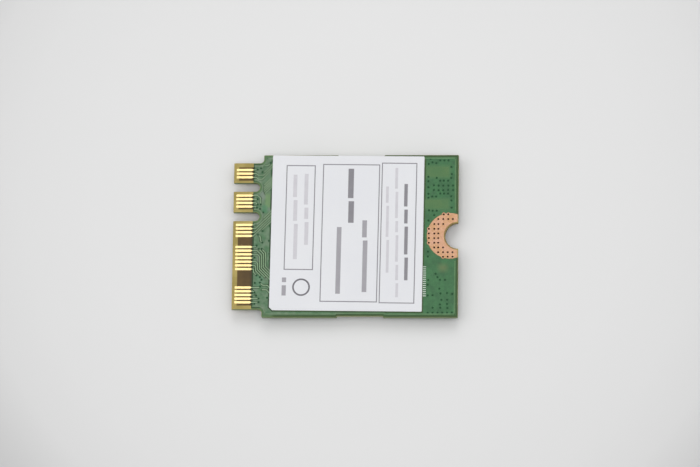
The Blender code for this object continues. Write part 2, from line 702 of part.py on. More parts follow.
def make_receptacle_contact(name, material):
    """Plated pin with a domed tip, and a flat tail that is soldered beside the base."""
    bm = bmesh.new()
    rings = []
    dome_start = CONTACT_HEIGHT - CONTACT_RADIUS
    stations = [(CONTACT_RADIUS, 0), (CONTACT_RADIUS, dome_start)]
    for index in range(1, SMALL_ARC_STEPS):
        angle = math.pi / 2 * index / SMALL_ARC_STEPS
        stations.append((CONTACT_RADIUS * math.cos(angle), dome_start + CONTACT_RADIUS * math.sin(angle)))
    for radius, z in stations:
        rings.append([(x, y, z) for x, y in circle((0, 0), radius, ROUND_STEPS // 2)])
    add_loft(bm, rings)
    contact = add_object(name, bm, material, math.radians(40))
    bm = bmesh.new()
    end = BASE_SIZE / 2 + TAIL_FOOT
    add_block(bm, (0, -TAIL_WIDTH / 2, 0), (end, TAIL_WIDTH / 2, TAIL_THICKNESS))
    tail = add_helper(name + "_tail", bm)
    tail.parent = contact
    combine(contact, tail, "UNION")
    return contact


def place_receptacles(finishes, side):
    for number, y in enumerate(RECEPTACLE_PLACES, 1):
        name = f"receptacle_{number}_"
        pieces = (
            make_receptacle_base(name + "base", finishes["insulator"]),
            make_receptacle_shell(name + "shell", finishes["gold"]),
            make_receptacle_contact(name + "contact", finishes["gold"]),
        )
        for piece in pieces:
            seat(piece, side, RECEPTACLE_X, y, math.pi)


def make_capacitor(name, material):
    return make_two_ended(
        name, CAPACITOR_LENGTH, CAPACITOR_WIDTH, CAPACITOR_WIDTH, CAPACITOR_END_CAP, material
    )


def place_shielded_parts(finishes, side):
    """Columns of parts between the fence's end walls, each spread between its side walls."""
    half_room_y = SHIELD_WIDTH / 2 - ROOM_INSET
    widths = (INDUCTOR_WIDTH, RADIO_CHIP_SIDE, FRONT_END_SIDE, BAND_FILTER_LENGTH)
    columns = spread(widths, SHIELD_LOW_X + ROOM_INSET, SHIELD_HIGH_X - ROOM_INSET)
    supply_x, radio_x, front_x, filter_x = columns
    capacitors = []

    def place_capacitor(x, y, turn=0.0):
        name = f"decoupling_capacitor_{len(capacitors) + 1:02d}"
        capacitors.append(make_capacitor(name, finishes["ceramic"]))
        seat(capacitors[-1], side, x, y, turn)

    def place_chip(name, length, width, height, x, y):
        seat(make_chip(name, length, width, height, finishes["chip"]), side, x, y)

    column = (
        INDUCTOR_LENGTH,
        CAPACITOR_WIDTH,
        INDUCTOR_LENGTH,
        CAPACITOR_WIDTH,
        CONVERTER_SIDE,
        CAPACITOR_WIDTH,
        CAPACITOR_WIDTH,
    )
    places = spread(column, -half_room_y, half_room_y)
    for number, y in enumerate((places[0], places[2]), 1):
        inductor = make_two_ended(
            f"power_inductor_{number}",
            INDUCTOR_LENGTH,
            INDUCTOR_WIDTH,
            INDUCTOR_HEIGHT,
            INDUCTOR_END_CAP,
            finishes["ferrite"],
        )
        seat(inductor, side, supply_x, y, math.pi / 2)
    place_chip("power_converter", CONVERTER_SIDE, CONVERTER_SIDE, CONVERTER_HEIGHT, supply_x, places[4])
    for y in (places[1], places[3], places[5], places[6]):
        place_capacitor(supply_x, y)

    heights = (MEMORY_CHIP_WIDTH, CAPACITOR_LENGTH, RADIO_CHIP_SIDE, CAPACITOR_LENGTH)
    rows = spread(heights, -half_room_y, half_room_y)
    place_chip("memory_chip", MEMORY_CHIP_LENGTH, MEMORY_CHIP_WIDTH, MEMORY_CHIP_HEIGHT, radio_x, rows[0])
    place_chip("radio_chip", RADIO_CHIP_SIDE, RADIO_CHIP_SIDE, RADIO_CHIP_HEIGHT, radio_x, rows[2])
    half_chip = RADIO_CHIP_SIDE / 2
    for y in (rows[1], rows[3]):
        for x in spread((CAPACITOR_WIDTH,) * 4, radio_x - half_chip, radio_x + half_chip):
            place_capacitor(x, y, math.pi / 2)

    highest = half_room_y - FRONT_END_SIDE / 2 - CHIP_EDGE_CHAMFER
    for number, line_y in enumerate(RECEPTACLE_PLACES, 1):
        name = f"front_end_module_{number}"
        place_chip(name, FRONT_END_SIDE, FRONT_END_SIDE, FRONT_END_HEIGHT, front_x, min(line_y, highest))
        band_filter = make_two_ended(
            f"band_filter_{number}",
            BAND_FILTER_LENGTH,
            BAND_FILTER_WIDTH,
            BAND_FILTER_HEIGHT,
            BAND_FILTER_END_CAP,
            finishes["ceramic"],
        )
        seat(band_filter, side, filter_x, line_y)

    clock_column = (CRYSTAL_WIDTH, CAPACITOR_WIDTH, CAPACITOR_WIDTH)
    clock = spread(clock_column, -half_room_y, min(RECEPTACLE_PLACES) - FRONT_END_SIDE / 2)
    seat(make_crystal("crystal", finishes["ceramic"]), side, front_x, clock[0])
    for y in clock[1:]:
        place_capacitor(front_x, y)


def place_outer_parts(finishes, side):
    """Capacitors between the contact fingers and the shield, and in the antenna lines."""
    strip_x = (MASK_EDGE_X + SHIELD_LOW_X) / 2
    for number, sign in enumerate((1, -1), 1):
        bulk = make_two_ended(
            f"bulk_capacitor_{number}",
            BULK_CAPACITOR_LENGTH,
            BULK_CAPACITOR_WIDTH,
            BULK_CAPACITOR_WIDTH,
            BULK_CAPACITOR_END_CAP,
            finishes["ceramic"],
        )
        seat(bulk, side, strip_x, sign * (BOARD_WIDTH / 2 - BULK_CAPACITOR_FROM_SIDE), math.pi / 2)
        coupling = make_capacitor(f"coupling_capacitor_{number}", finishes["ceramic"])
        y = COUPLING_CAPACITOR_PLACE + sign * COUPLING_CAPACITOR_SPACING / 2
        seat(coupling, side, strip_x, y)
    line_x = (SHIELD_HIGH_X + RECEPTACLE_X - BASE_SIZE / 2 - TAIL_FOOT) / 2
    for number, y in enumerate(RECEPTACLE_PLACES, 1):
        matching = make_capacitor(f"matching_capacitor_{number}", finishes["ceramic"])
        seat(matching, side, line_x, y)


def main():
    clear_scene()
    finishes = {
        "board": make_finish("solder_mask_green", (0.09, 0.19, 0.10), 0.4),
        "paper": make_finish("label_paper", (0.80, 0.80, 0.82), 0.6),
        "tin": make_finish("shield_tin", (0.62, 0.61, 0.58), 0.35, 1.0),
        "chip": make_finish("chip_moulding", (0.03, 0.03, 0.032), 0.55),
        "ceramic": make_finish("capacitor_ceramic", (0.42, 0.30, 0.20), 0.45),
        "ferrite": make_finish("inductor_ferrite", (0.10, 0.10, 0.11), 0.6),
        "insulator": make_finish("receptacle_insulator", (0.75, 0.72, 0.66), 0.5),
        "gold": make_finish("gold_plating", (0.83, 0.62, 0.27), 0.25, 1.0),
    }
    make_circuit_board(finishes["board"])
    make_label(finishes["paper"])
    side = bpy.data.objects.new("shield_side", None)
    bpy.context.scene.collection.objects.link(side)
    side.location.z = BOARD_LOW_Z
    side.rotation_euler.x = math.pi
    make_shield_frame(finishes["tin"], side)
    make_shield_lid(finishes["tin"], side)
    place_shielded_parts(finishes, side)
    place_receptacles(finishes, side)
    place_outer_parts(finishes, side)


main()
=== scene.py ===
# %% [markdown]
# # A plug-in laptop Wi-Fi card
# The card is a strip of circuit board 30 mm long and 22 mm wide. A paper label covers most of one side,
# and a stamped metal shield covers the other. It slides into its socket by the gold contacts on its tongue.
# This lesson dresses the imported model: each plain solid either keeps its shape and gets a real finish, or
# is replaced by finer pieces that stay in the same space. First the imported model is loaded.

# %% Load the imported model
import math

import bmesh
import bpy
from mathutils import Matrix, Vector


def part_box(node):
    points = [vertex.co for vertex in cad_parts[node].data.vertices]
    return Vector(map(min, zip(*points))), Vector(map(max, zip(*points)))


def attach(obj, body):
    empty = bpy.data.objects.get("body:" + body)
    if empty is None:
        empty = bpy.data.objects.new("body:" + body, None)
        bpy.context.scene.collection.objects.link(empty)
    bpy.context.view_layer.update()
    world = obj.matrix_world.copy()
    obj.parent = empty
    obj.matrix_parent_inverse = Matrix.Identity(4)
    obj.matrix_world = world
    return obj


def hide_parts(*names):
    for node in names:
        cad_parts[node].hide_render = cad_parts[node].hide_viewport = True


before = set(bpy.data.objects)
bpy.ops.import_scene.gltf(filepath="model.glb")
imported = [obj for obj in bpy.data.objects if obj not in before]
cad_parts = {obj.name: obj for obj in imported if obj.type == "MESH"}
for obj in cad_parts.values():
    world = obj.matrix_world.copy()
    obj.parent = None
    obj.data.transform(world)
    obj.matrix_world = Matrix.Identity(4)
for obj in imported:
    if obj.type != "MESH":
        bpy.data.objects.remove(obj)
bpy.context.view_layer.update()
MM = 0.001
print("nodes in the packed model:", len(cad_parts))

# %% [markdown]
# The camera looks down from about 77 degrees, a little from the right and from below, and it is rolled so
# that the card lies level in the picture. It starts looking straight down. A turn about Z rolls it, a turn
# about X lays it back, and another about Z swings it round. The lens is long, so that the card's edges stay
# nearly parallel.

# %% Camera
CAMERA_AIM = Vector((0.62, 0.32, 2.15)) * MM
CAMERA_DISTANCE = 500.0 * MM
AZIMUTH, ELEVATION, ROLL = 17.61, 77.41, -17.25

camera_data = bpy.data.cameras.new("camera")
camera_data.lens = 193.6
camera_data.sensor_width = 36.0
camera_data.clip_start = 0.01
camera = bpy.data.objects.new("camera", camera_data)
bpy.context.scene.collection.objects.link(camera)
turns = ((AZIMUTH, "Z"), (90.0 - ELEVATION, "X"), (ROLL, "Z"))
swing, lay_back, rolled = [Matrix.Rotation(math.radians(angle), 4, axis) for angle, axis in turns]
turned = swing @ lay_back @ rolled
camera.matrix_world = Matrix.Translation(CAMERA_AIM) @ turned @ Matrix.Translation((0, 0, CAMERA_DISTANCE))
bpy.context.scene.camera = camera
print("camera place in mm:", [round(value / MM, 1) for value in camera.matrix_world.translation])

# %% [markdown]
# The helpers below are used by every piece. A piece is a mesh whose object sits at the origin, so that its
# finish can read the place of each point straight from the object's own coordinates.

# %% Helpers for pieces
def linked(name, mesh):
    piece = bpy.data.objects.new(name, mesh)
    bpy.context.scene.collection.objects.link(piece)
    return piece


def new_piece(name, bm, *finishes, smooth_angle=None):
    """Turn a bmesh into a linked object, with its faces pointing out."""
    bmesh.ops.recalc_face_normals(bm, faces=bm.faces[:])
    mesh = bpy.data.meshes.new(name)
    bm.to_mesh(mesh)
    bm.free()
    for finish in finishes:
        mesh.materials.append(finish)
    if smooth_angle:
        mesh.shade_smooth()
        mesh.set_sharp_from_angle(angle=smooth_angle)
    return linked(name, mesh)


print("helpers for pieces are ready")

# %% [markdown]
# An outline is a list of points seen from above. Its round stretches are arcs, each with as many steps as
# it needs.

# %% Helpers for outlines
def arc(centre, radius, start, end, steps):
    """Points on an arc, from one angle to the other, in degrees."""
    angles = [math.radians(start + (end - start) * index / steps) for index in range(steps + 1)]
    return [(centre[0] + radius * math.cos(a), centre[1] + radius * math.sin(a)) for a in angles]


def circle(centre, radius, steps):
    return arc(centre, radius, 0, 360, steps)[:-1]


def rectangle(centre, size, turn=0.0, radius=0.0, steps=3):
    """Outline of a rectangle with round corners, turned about its own middle."""
    half_x, half_y = size[0] / 2 - radius, size[1] / 2 - radius
    corners = ((half_x, half_y, 0), (-half_x, half_y, 90), (-half_x, -half_y, 180), (half_x, -half_y, 270))
    outline = []
    for x, y, start in corners:
        outline += arc((x, y), radius, start, start + 90, steps) if radius else [(x, y)]
    sine, cosine = math.sin(turn), math.cos(turn)
    return [(centre[0] + x * cosine - y * sine, centre[1] + x * sine + y * cosine) for x, y in outline]


print("points on a rectangle with round corners:", len(rectangle((0, 0), (2, 1), 0.0, 0.2)))

# %% [markdown]
# Most pieces are lofts: a skin through rings of equally many points. A prism is a loft through two rings,
# with a cap on each end. A flat frame needs no caps, because its skin closes on itself.

# %% Helpers for lofts
def add_loft(bm, rings, finish=0, closed=False):
    """Skin through rings of equally many points, capped at both ends or closed on itself."""
    loops = [[bm.verts.new(point) for point in ring] for ring in rings]
    count = len(loops[0])
    faces = [] if closed else [bm.faces.new(loops[0]), bm.faces.new(loops[-1])]
    following = loops[1:] + loops[:1] if closed else loops[1:]
    for lower, upper in zip(loops, following):
        for index in range(count):
            after = (index + 1) % count
            faces.append(bm.faces.new((lower[index], lower[after], upper[after], upper[index])))
    for face in faces:
        face.material_index = finish


def add_prism(bm, outline, low, high):
    add_loft(bm, [[(x, y, z) for x, y in outline] for z in (low, high)])


def add_ring(bm, outer, inner, low, high):
    """A flat frame between two outlines of equally many points."""
    sides = ((outer, low), (outer, high), (inner, high), (inner, low))
    add_loft(bm, [[(x, y, z) for x, y in outline] for outline, z in sides], closed=True)


print("helpers for lofts are ready")

# %% [markdown]
# Modifiers and node trees are useful while a piece is being made, but the finished piece is a plain mesh.
# `settle` takes the evaluated result, puts it back into the object and removes the modifiers. `combine`
# does the same for one Boolean.

# %% Helpers that turn modifiers into meshes
def settle(piece):
    bpy.context.view_layer.update()
    graph = bpy.context.evaluated_depsgraph_get()
    mesh = bpy.data.meshes.new_from_object(piece.evaluated_get(graph), depsgraph=graph)
    mesh.name = piece.name
    piece.modifiers.clear()
    piece.data = mesh
    return piece


def combine(piece, bm, operation="DIFFERENCE"):
    """Cut a shape away from a piece, or keep only what lies inside it."""
    tool = new_piece("tool", bm)
    modifier = piece.modifiers.new("combine", "BOOLEAN")
    modifier.operation = operation
    modifier.solver = "EXACT"
    modifier.use_self = True
    modifier.object = tool
    settle(piece)
    bpy.data.objects.remove(tool, do_unlink=True)
    return piece


print("helpers for modifiers are ready")

# %% [markdown]
# Whatever repeats is made by Geometry Nodes. `put` adds one node to any tree. `grow` runs a tree on a few
# points or edges and keeps the result as a mesh. Every tree ends the same way, in `end_tree`: its
# instances are made real, and then the material is set.

# %% Helpers for Geometry Nodes
def put(tree, kind, inputs=None, **options):
    """Add a node, set its options, and give each named input a value or a link."""
    node = tree.nodes.new(kind)
    for name, value in options.items():
        setattr(node, name, value)
    for name, value in (inputs or {}).items():
        if isinstance(value, bpy.types.NodeSocket):
            tree.links.new(value, node.inputs[name])
        else:
            node.inputs[name].default_value = value
    return node


def geometry_tree(name, sockets):
    """An empty Geometry Nodes tree with named inputs, and its two end nodes."""
    tree = bpy.data.node_groups.new(name, "GeometryNodeTree")
    tree.interface.new_socket("Geometry", in_out="INPUT", socket_type="NodeSocketGeometry")
    for socket_name, kind in sockets.items():
        tree.interface.new_socket(socket_name, in_out="INPUT", socket_type=kind)
    tree.interface.new_socket("Geometry", in_out="OUTPUT", socket_type="NodeSocketGeometry")
    return tree, put(tree, "NodeGroupInput"), put(tree, "NodeGroupOutput")


def instances(tree, given, shape):
    """Set one shape on every point that the tree is given."""
    values = {"Points": given.outputs["Geometry"], "Instance": shape}
    return put(tree, "GeometryNodeInstanceOnPoints", values)


def end_tree(tree, given, made, geometry):
    solid = put(tree, "GeometryNodeRealizeInstances", {0: geometry}).outputs[0]
    values = {"Geometry": solid, "Material": given.outputs["Material"]}
    tree.links.new(put(tree, "GeometryNodeSetMaterial", values).outputs[0], made.inputs[0])
    print(tree.name, "tree:", len(tree.nodes), "nodes")


def grow(name, tree, points, edges, values, lengths=None):
    """Run a tree on points and edges, and keep what it makes as a plain mesh with its faces out."""
    mesh = bpy.data.meshes.new(name)
    mesh.from_pydata(points, edges, [])
    if lengths:
        mesh.attributes.new("length", "FLOAT", "POINT").data.foreach_set("value", lengths)
    piece = linked(name, mesh)
    modifier = piece.modifiers.new(tree.name, "NODES")
    modifier.node_group = tree
    for item in tree.interface.items_tree:
        if item.in_out == "INPUT" and item.name in values:
            modifier[item.identifier] = values[item.name]
    settle(piece)
    bm = bmesh.new()
    bm.from_mesh(piece.data)
    bmesh.ops.recalc_face_normals(bm, faces=bm.faces[:])
    bm.to_mesh(piece.data)
    bm.free()
    print(f"{name}: {len(points)} points became {len(piece.data.polygons)} faces")
    return piece


print("helpers for Geometry Nodes are ready")

# %% [markdown]
# Finishes come next. A colour read off a screen is in display values, while a shader wants linear light, so
# `paint` converts it. A material is a Principled shader whose colour, roughness and bump come from nodes.

# %% Helpers for finishes
def paint(red, green, blue):
    """Display values from 0 to 255 as a linear colour."""
    linear = []
    for value in (red / 255, green / 255, blue / 255):
        linear.append(value / 12.92 if value <= 0.04045 else ((value + 0.055) / 1.055) ** 2.4)
    return (*linear, 1.0)


def new_finish(name):
    """A material with its Principled shader, and the object's own coordinates."""
    material = bpy.data.materials.new(name)
    material.use_nodes = True
    tree = material.node_tree
    shader = tree.nodes["Principled BSDF"]
    place = put(tree, "ShaderNodeTexCoord").outputs["Object"]
    return material, tree, shader, place


def noise(tree, place, scale, detail=3.0, roughness=0.5):
    values = {"Vector": place, "Scale": scale, "Detail": detail, "Roughness": roughness}
    return put(tree, "ShaderNodeTexNoise", values).outputs["Fac"]


def between(tree, value, low, high, first=0.0, last=1.0):
    """Follow a value from one range to another, clamped at its ends."""
    values = {0: value, 1: low, 2: high, 3: first, 4: last}
    return put(tree, "ShaderNodeMapRange", values).outputs["Result"]


def mixed(tree, share, first, second, blend="MIX"):
    node = put(tree, "ShaderNodeMix", {0: share, 6: first, 7: second}, data_type="RGBA", blend_type=blend)
    return node.outputs[2]


def calculate(tree, operation, first, second=0.0):
    return put(tree, "ShaderNodeMath", {0: first, 1: second}, operation=operation).outputs[0]


def bumped(tree, shader, height, depth, strength=1.0):
    values = {"Height": height, "Distance": depth, "Strength": strength}
    tree.links.new(put(tree, "ShaderNodeBump", values).outputs[0], shader.inputs["Normal"])


def shader_group(name, inputs, outputs):
    """An empty shader group with named sockets, and its two end nodes."""
    tree = bpy.data.node_groups.new(name, "ShaderNodeTree")
    for socket_name, kind, value in inputs:
        socket = tree.interface.new_socket(socket_name, in_out="INPUT", socket_type=kind)
        if value is not None:
            socket.default_value = value
    for socket_name, kind in outputs:
        tree.interface.new_socket(socket_name, in_out="OUTPUT", socket_type=kind)
    return tree, put(tree, "NodeGroupInput").outputs, put(tree, "NodeGroupOutput").inputs


print("helpers for finishes are ready")

# %% [markdown]
# Every surface here has some unevenness: a slow drift of tone over a few millimetres, and a fine grain
# that can only be seen close up. One group makes both, and each material gives it its own two tones
# and the sizes of its patches.

# %% Group: uneven tone
COLOR, FLOAT, VECTOR = "NodeSocketColor", "NodeSocketFloat", "NodeSocketVector"

uneven_tone, given, made = shader_group(
    "uneven_tone",
    [
        ("Place", VECTOR, None),
        ("Tone", COLOR, (0.5, 0.5, 0.5, 1.0)),
        ("Other tone", COLOR, (0.4, 0.4, 0.4, 1.0)),
        ("Patches per metre", FLOAT, 400.0),
        ("Grains per metre", FLOAT, 9000.0),
        ("Grain share", FLOAT, 0.3),
    ],
    [("Color", COLOR), ("Grain", FLOAT), ("Patch", FLOAT)],
)
patch = noise(uneven_tone, given["Place"], given["Patches per metre"], 2.0)
patch = between(uneven_tone, patch, 0.35, 0.65)
grain = noise(uneven_tone, given["Place"], given["Grains per metre"], 3.0)
spread_grain = between(uneven_tone, grain, 0.3, 0.7)
grain_share = calculate(uneven_tone, "MULTIPLY", spread_grain, given["Grain share"])
patch_share = calculate(uneven_tone, "SUBTRACT", 1.0, given["Grain share"])
patch_share = calculate(uneven_tone, "MULTIPLY", patch, patch_share)
share = calculate(uneven_tone, "ADD", grain_share, patch_share)
uneven_tone.links.new(mixed(uneven_tone, share, given["Tone"], given["Other tone"]), made["Color"])
uneven_tone.links.new(grain, made["Grain"])
uneven_tone.links.new(patch, made["Patch"])


def tone_of(tree, place, tone, other, patches=400.0, grains=9000.0, grain_share=0.3):
    node = put(tree, "ShaderNodeGroup", node_tree=uneven_tone)
    tree.links.new(place, node.inputs["Place"])
    node.inputs["Tone"].default_value = tone
    node.inputs["Other tone"].default_value = other
    node.inputs["Patches per metre"].default_value = patches
    node.inputs["Grains per metre"].default_value = grains
    node.inputs["Grain share"].default_value = grain_share
    return node.outputs


print("group sockets:", [item.name for item in uneven_tone.interface.items_tree])

# %% [markdown]
# The sizes of the card repeat what the solid model says, in metres. Everything else is measured from
# these edges: where the tongue steps in, where the notches end and where the solder mask stops.

# %% The card's own sizes
CONTACT_EDGE_X, SCREW_END_X = -15.0 * MM, 15.0 * MM
HALF_BOARD = 11.0 * MM
SHOULDER_X = -11.0 * MM
HALF_TONGUE = 9.925 * MM
SHOULDER_FILLET = 0.5 * MM
CORNER_RADIUS = 0.12 * MM
NOTCHES = (6.625 * MM, 2.625 * MM)
HALF_NOTCH = 0.6 * MM
NOTCH_END_X = -12.1 * MM
RECESS_START, RECESS_END, RECESS_DEPTH = -1.1 * MM, 5.2 * MM, 0.15 * MM
SCREW_RADIUS = 1.75 * MM
PAD_CENTRE, PAD_RADIUS = (13.92 * MM, 0.0), 3.08 * MM
MASK_EDGE_X = -12.38 * MM
CORNER_STEPS, FILLET_STEPS, NOTCH_STEPS, BITE_STEPS = 4, 8, 16, 32

BOARD_LOW, BOARD_HIGH = 1.35 * MM, 2.18 * MM
LAMINATE_LOW, LAMINATE_HIGH = 1.395 * MM, 2.135 * MM
PLATING = 0.03 * MM
RELIEF = 0.016 * MM


def board_outline(step_in=0.0, start_x=CONTACT_EDGE_X):
    """The routed edge, anticlockwise, moved inwards by step_in and cut off square at start_x."""
    corner = max(CORNER_RADIUS - step_in, 0.02 * MM)
    edge = HALF_BOARD - step_in
    floor = edge - RECESS_DEPTH
    # The recess ends in slopes of 45 degrees, so its corners move along by the tangent of 22.5 degrees.
    slope = step_in * 0.41
    fillet = (SHOULDER_X - SHOULDER_FILLET, HALF_TONGUE + SHOULDER_FILLET)
    bite = SCREW_RADIUS + step_in
    reach = math.degrees(math.acos(-step_in / bite))
    upper = arc((SHOULDER_X + step_in + corner, edge - corner), corner, 180, 90, CORNER_STEPS)
    upper += [
        (RECESS_START - slope, edge),
        (RECESS_START + RECESS_DEPTH - slope, floor),
        (RECESS_END - RECESS_DEPTH + slope, floor),
        (RECESS_END + slope, edge),
    ]
    upper += arc((SCREW_END_X - step_in - corner, edge - corner), corner, 90, 0, CORNER_STEPS)
    outline = [(start_x, step_in - HALF_TONGUE)]
    outline += arc((fillet[0], -fillet[1]), SHOULDER_FILLET + step_in, 90, 0, FILLET_STEPS)
    outline += [(x, -y) for x, y in upper]
    outline += arc((SCREW_END_X, 0), bite, 360 - reach, reach, BITE_STEPS)
    outline += upper[::-1]
    outline += arc(fillet, SHOULDER_FILLET + step_in, 0, -90, FILLET_STEPS)
    outline.append((start_x, HALF_TONGUE - step_in))
    for place in NOTCHES:
        half = HALF_NOTCH + step_in
        outline.append((start_x, place + half))
        outline += arc((NOTCH_END_X, place), half, 90, -90, NOTCH_STEPS)
        outline.append((start_x, place - half))
    return outline


print("points round the routed edge:", len(board_outline()))

# %% [markdown]
# **Laminate.** The core is woven glass cloth set in resin. Where it is bare, on the tongue, it is olive
# yellow, and browner where a copper plane inside shows through. The tone is chosen by place: three boxes
# mark the buried plane. A painted texture could do this too, but a mask made from coordinates stays sharp
# however close the camera comes.

# %% Finish: laminate, bare faces
PLANE_START_X = -14.27 * MM
PLANE_MIDDLES = ((-3.95 * MM, 5.42 * MM), (4.625 * MM, 0.94 * MM), (8.45 * MM, 0.86 * MM))


def within(tree, value, middle, half, soft):
    """One where a coordinate lies within a band, falling to nought over a soft edge."""
    away = calculate(tree, "ABSOLUTE", calculate(tree, "SUBTRACT", value, middle))
    return between(tree, away, half, half + soft, 1.0, 0.0)


def within_box(tree, axes, middle, half, soft):
    """One inside a box seen from above, falling to nought over a soft edge."""
    band = within(tree, axes["X"], middle[0], half[0], soft)
    return calculate(tree, "MULTIPLY", band, within(tree, axes["Y"], middle[1], half[1], soft))


laminate, tree, shader, place = new_finish("laminate")
axes = put(tree, "ShaderNodeSeparateXYZ", {0: place}).outputs
olive = tone_of(tree, place, paint(176, 158, 92), paint(148, 132, 66), 500.0, 7000.0)
brown = tone_of(tree, place, paint(88, 66, 25), paint(72, 53, 17), 700.0, 9000.0)
plane_middle, plane_half = (PLANE_START_X + MASK_EDGE_X) / 2, (MASK_EDGE_X - PLANE_START_X) / 2
plane = 0.0
for middle, half in PLANE_MIDDLES:
    box = within_box(tree, axes, (plane_middle, middle), (plane_half, half), 0.12 * MM)
    plane = calculate(tree, "MAXIMUM", box, plane)
face_color = mixed(tree, plane, olive["Color"], brown["Color"])
# Painted shade: the buried plane's tone darkens just before the mask's edge, where the mask's step shades
# the laminate round the contacts' ends.
painted_shade_beside_mask = between(tree, axes["X"], MASK_EDGE_X - 0.35 * MM, MASK_EDGE_X - 0.1 * MM)
painted_shade_beside_mask = calculate(tree, "MULTIPLY", painted_shade_beside_mask, plane)
face_color = mixed(tree, calculate(tree, "MULTIPLY", painted_shade_beside_mask, 0.6), face_color, paint(40, 32, 14))
print("tones of the bare faces: olive, buried plane, shade beside the mask")

# %% [markdown]
# The routed edge of the same board is greener and duller, with the layers of cloth just visible. It is
# paler where the card was broken out of its panel, and olive in the half-moon recess. The direction that
# a face looks in tells an edge from a face.

# %% Finish: laminate, cut edges
values = {"Vector": place, "Scale": 1100.0, "Distortion": 1.5, "Detail": 2.0}
layers = put(tree, "ShaderNodeTexWave", values, bands_direction="Z").outputs["Fac"]
layer_share = between(tree, layers, 0.2, 0.8, 0.0, 0.35)
cut_tone = tone_of(tree, place, paint(112, 138, 94), paint(94, 122, 78), 900.0, 16000.0, 0.6)
cut_color = mixed(tree, layer_share, cut_tone["Color"], paint(92, 108, 68))
recess_half = (RECESS_END - RECESS_START) / 2
broken = within(tree, axes["X"], RECESS_START + recess_half, recess_half - 0.2 * MM, 0.1 * MM)
broken_tone = tone_of(tree, place, paint(176, 182, 150), paint(140, 140, 108), 1200.0, 9000.0, 0.6)
cut_color = mixed(tree, calculate(tree, "MULTIPLY", broken, 0.8), cut_color, broken_tone["Color"])
bore_middle, bore_half = (SCREW_END_X - 0.9 * MM, 0.0), (0.95 * MM, SCREW_RADIUS)
bore = within_box(tree, axes, bore_middle, bore_half, 0.05 * MM)
bore_tone = tone_of(tree, place, paint(138, 118, 60), paint(116, 98, 46), 900.0, 9000.0, 0.5)
cut_color = mixed(tree, bore, cut_color, bore_tone["Color"])
face_color = mixed(tree, bore, face_color, bore_tone["Color"])
normal = put(tree, "ShaderNodeNewGeometry").outputs["Normal"]
facing = put(tree, "ShaderNodeSeparateXYZ", {0: normal}).outputs["Z"]
upright = between(tree, calculate(tree, "ABSOLUTE", facing), 0.2, 0.6, 1.0, 0.0)
tree.links.new(mixed(tree, upright, face_color, cut_color), shader.inputs["Base Color"])
tree.links.new(between(tree, olive["Grain"], 0.3, 0.7, 0.42, 0.58), shader.inputs["Roughness"])
weave = put(tree, "ShaderNodeTexChecker", {"Vector": place, "Scale": 3200.0}).outputs["Fac"]
height = calculate(tree, "ADD", calculate(tree, "MULTIPLY", weave, 0.25), olive["Grain"])
bumped(tree, shader, height, 0.006 * MM, 0.6)
shader.inputs["Specular IOR Level"].default_value = 0.3
print("laminate finish:", len(tree.nodes), "nodes")

# %% [markdown]
# **Solder mask.** The green lacquer is see-through. It looks light green over copper, dark green over bare
# laminate, and greyish olive where every copper layer has been kept clear under the antenna lines. Copper
# stands about 0.02 mm proud of the laminate, so the two greens also lie at two levels:
# the lacquer over bare laminate is a low skin, and the lacquer over copper stands on it.

# %% Helper for solder mask
def lacquer(name, tone, other, haze_share, shine=0.4, roughness=0.34):
    material, tree, shader, place = new_finish(name)
    shader.inputs["Specular IOR Level"].default_value = shine
    colors = tone_of(tree, place, tone, other, 1100.0, 5200.0, 0.4)
    across = put(tree, "ShaderNodeSeparateXYZ", {0: place}).outputs["X"]
    haze = between(tree, across, 11.0 * MM, -10.0 * MM, 0.0, haze_share)
    cloud = between(tree, noise(tree, place, 1400.0, 2.0), 0.36, 0.64, 0.5, 1.5)
    haze = calculate(tree, "MULTIPLY", haze, cloud)
    tree.links.new(mixed(tree, haze, colors["Color"], paint(112, 132, 108)), shader.inputs["Base Color"])
    rough = between(tree, colors["Patch"], 0.0, 1.0, roughness, roughness + 0.08)
    tree.links.new(rough, shader.inputs["Roughness"])
    bumped(tree, shader, colors["Grain"], 0.003 * MM, 0.5)
    return material, tree, shader, place, colors


print("lacquer: one maker for every green")

# %% [markdown]
# Under the lacquer, the copper of the inner layers shows through as faint lighter and darker areas with
# soft edges. Each is listed by its middle, its half size, the width of its soft edge, its tone and its
# share.

# %% Finish: solder mask over copper, tracks and vias
FAINT_AREAS = (
    (-11.2, 5.55, 0.2, 0.4, 0.4, paint(122, 132, 124), 0.55),
    (-10.3, 6.75, 0.2, 0.2, 0.4, paint(112, 134, 122), 0.5),
    (-10.05, 3.25, 0.1, 0.5, 0.25, paint(112, 126, 120), 0.5),
    (-11.2, -3.1, 0.25, 0.5, 0.35, paint(124, 130, 120), 0.6),
    (-10.95, -4.4, 0.25, 0.6, 0.35, paint(120, 128, 116), 0.5),
    (-10.3, -5.1, 0.2, 0.6, 0.35, paint(112, 120, 104), 0.5),
    (-10.4, 4.8, 0.2, 0.8, 0.25, paint(112, 144, 92), 0.6),
    (-10.8, 3.65, 0.2, 0.35, 0.3, paint(54, 120, 80), 0.6),
    (-11.3, -5.9, 0.3, 0.8, 0.4, paint(74, 128, 92), 0.4),
    (13.0, -4.32, 0.2, 0.1, 0.7, paint(120, 116, 70), 0.36),
    (12.2, 8.72, 1.52, 0.66, 0.42, paint(70, 112, 62), 0.7),
    (12.1, 4.3, 1.52, 0.56, 0.42, paint(70, 112, 62), 0.7),
)
mask_over_copper, tree, shader, place, colors = lacquer(
    "mask_over_copper", paint(44, 106, 56), paint(26, 81, 40), 0.44
)
axes = put(tree, "ShaderNodeSeparateXYZ", {0: place}).outputs
label_face = between(tree, axes["Z"], BOARD_LOW, BOARD_HIGH)
color = shader.inputs["Base Color"].links[0].from_socket
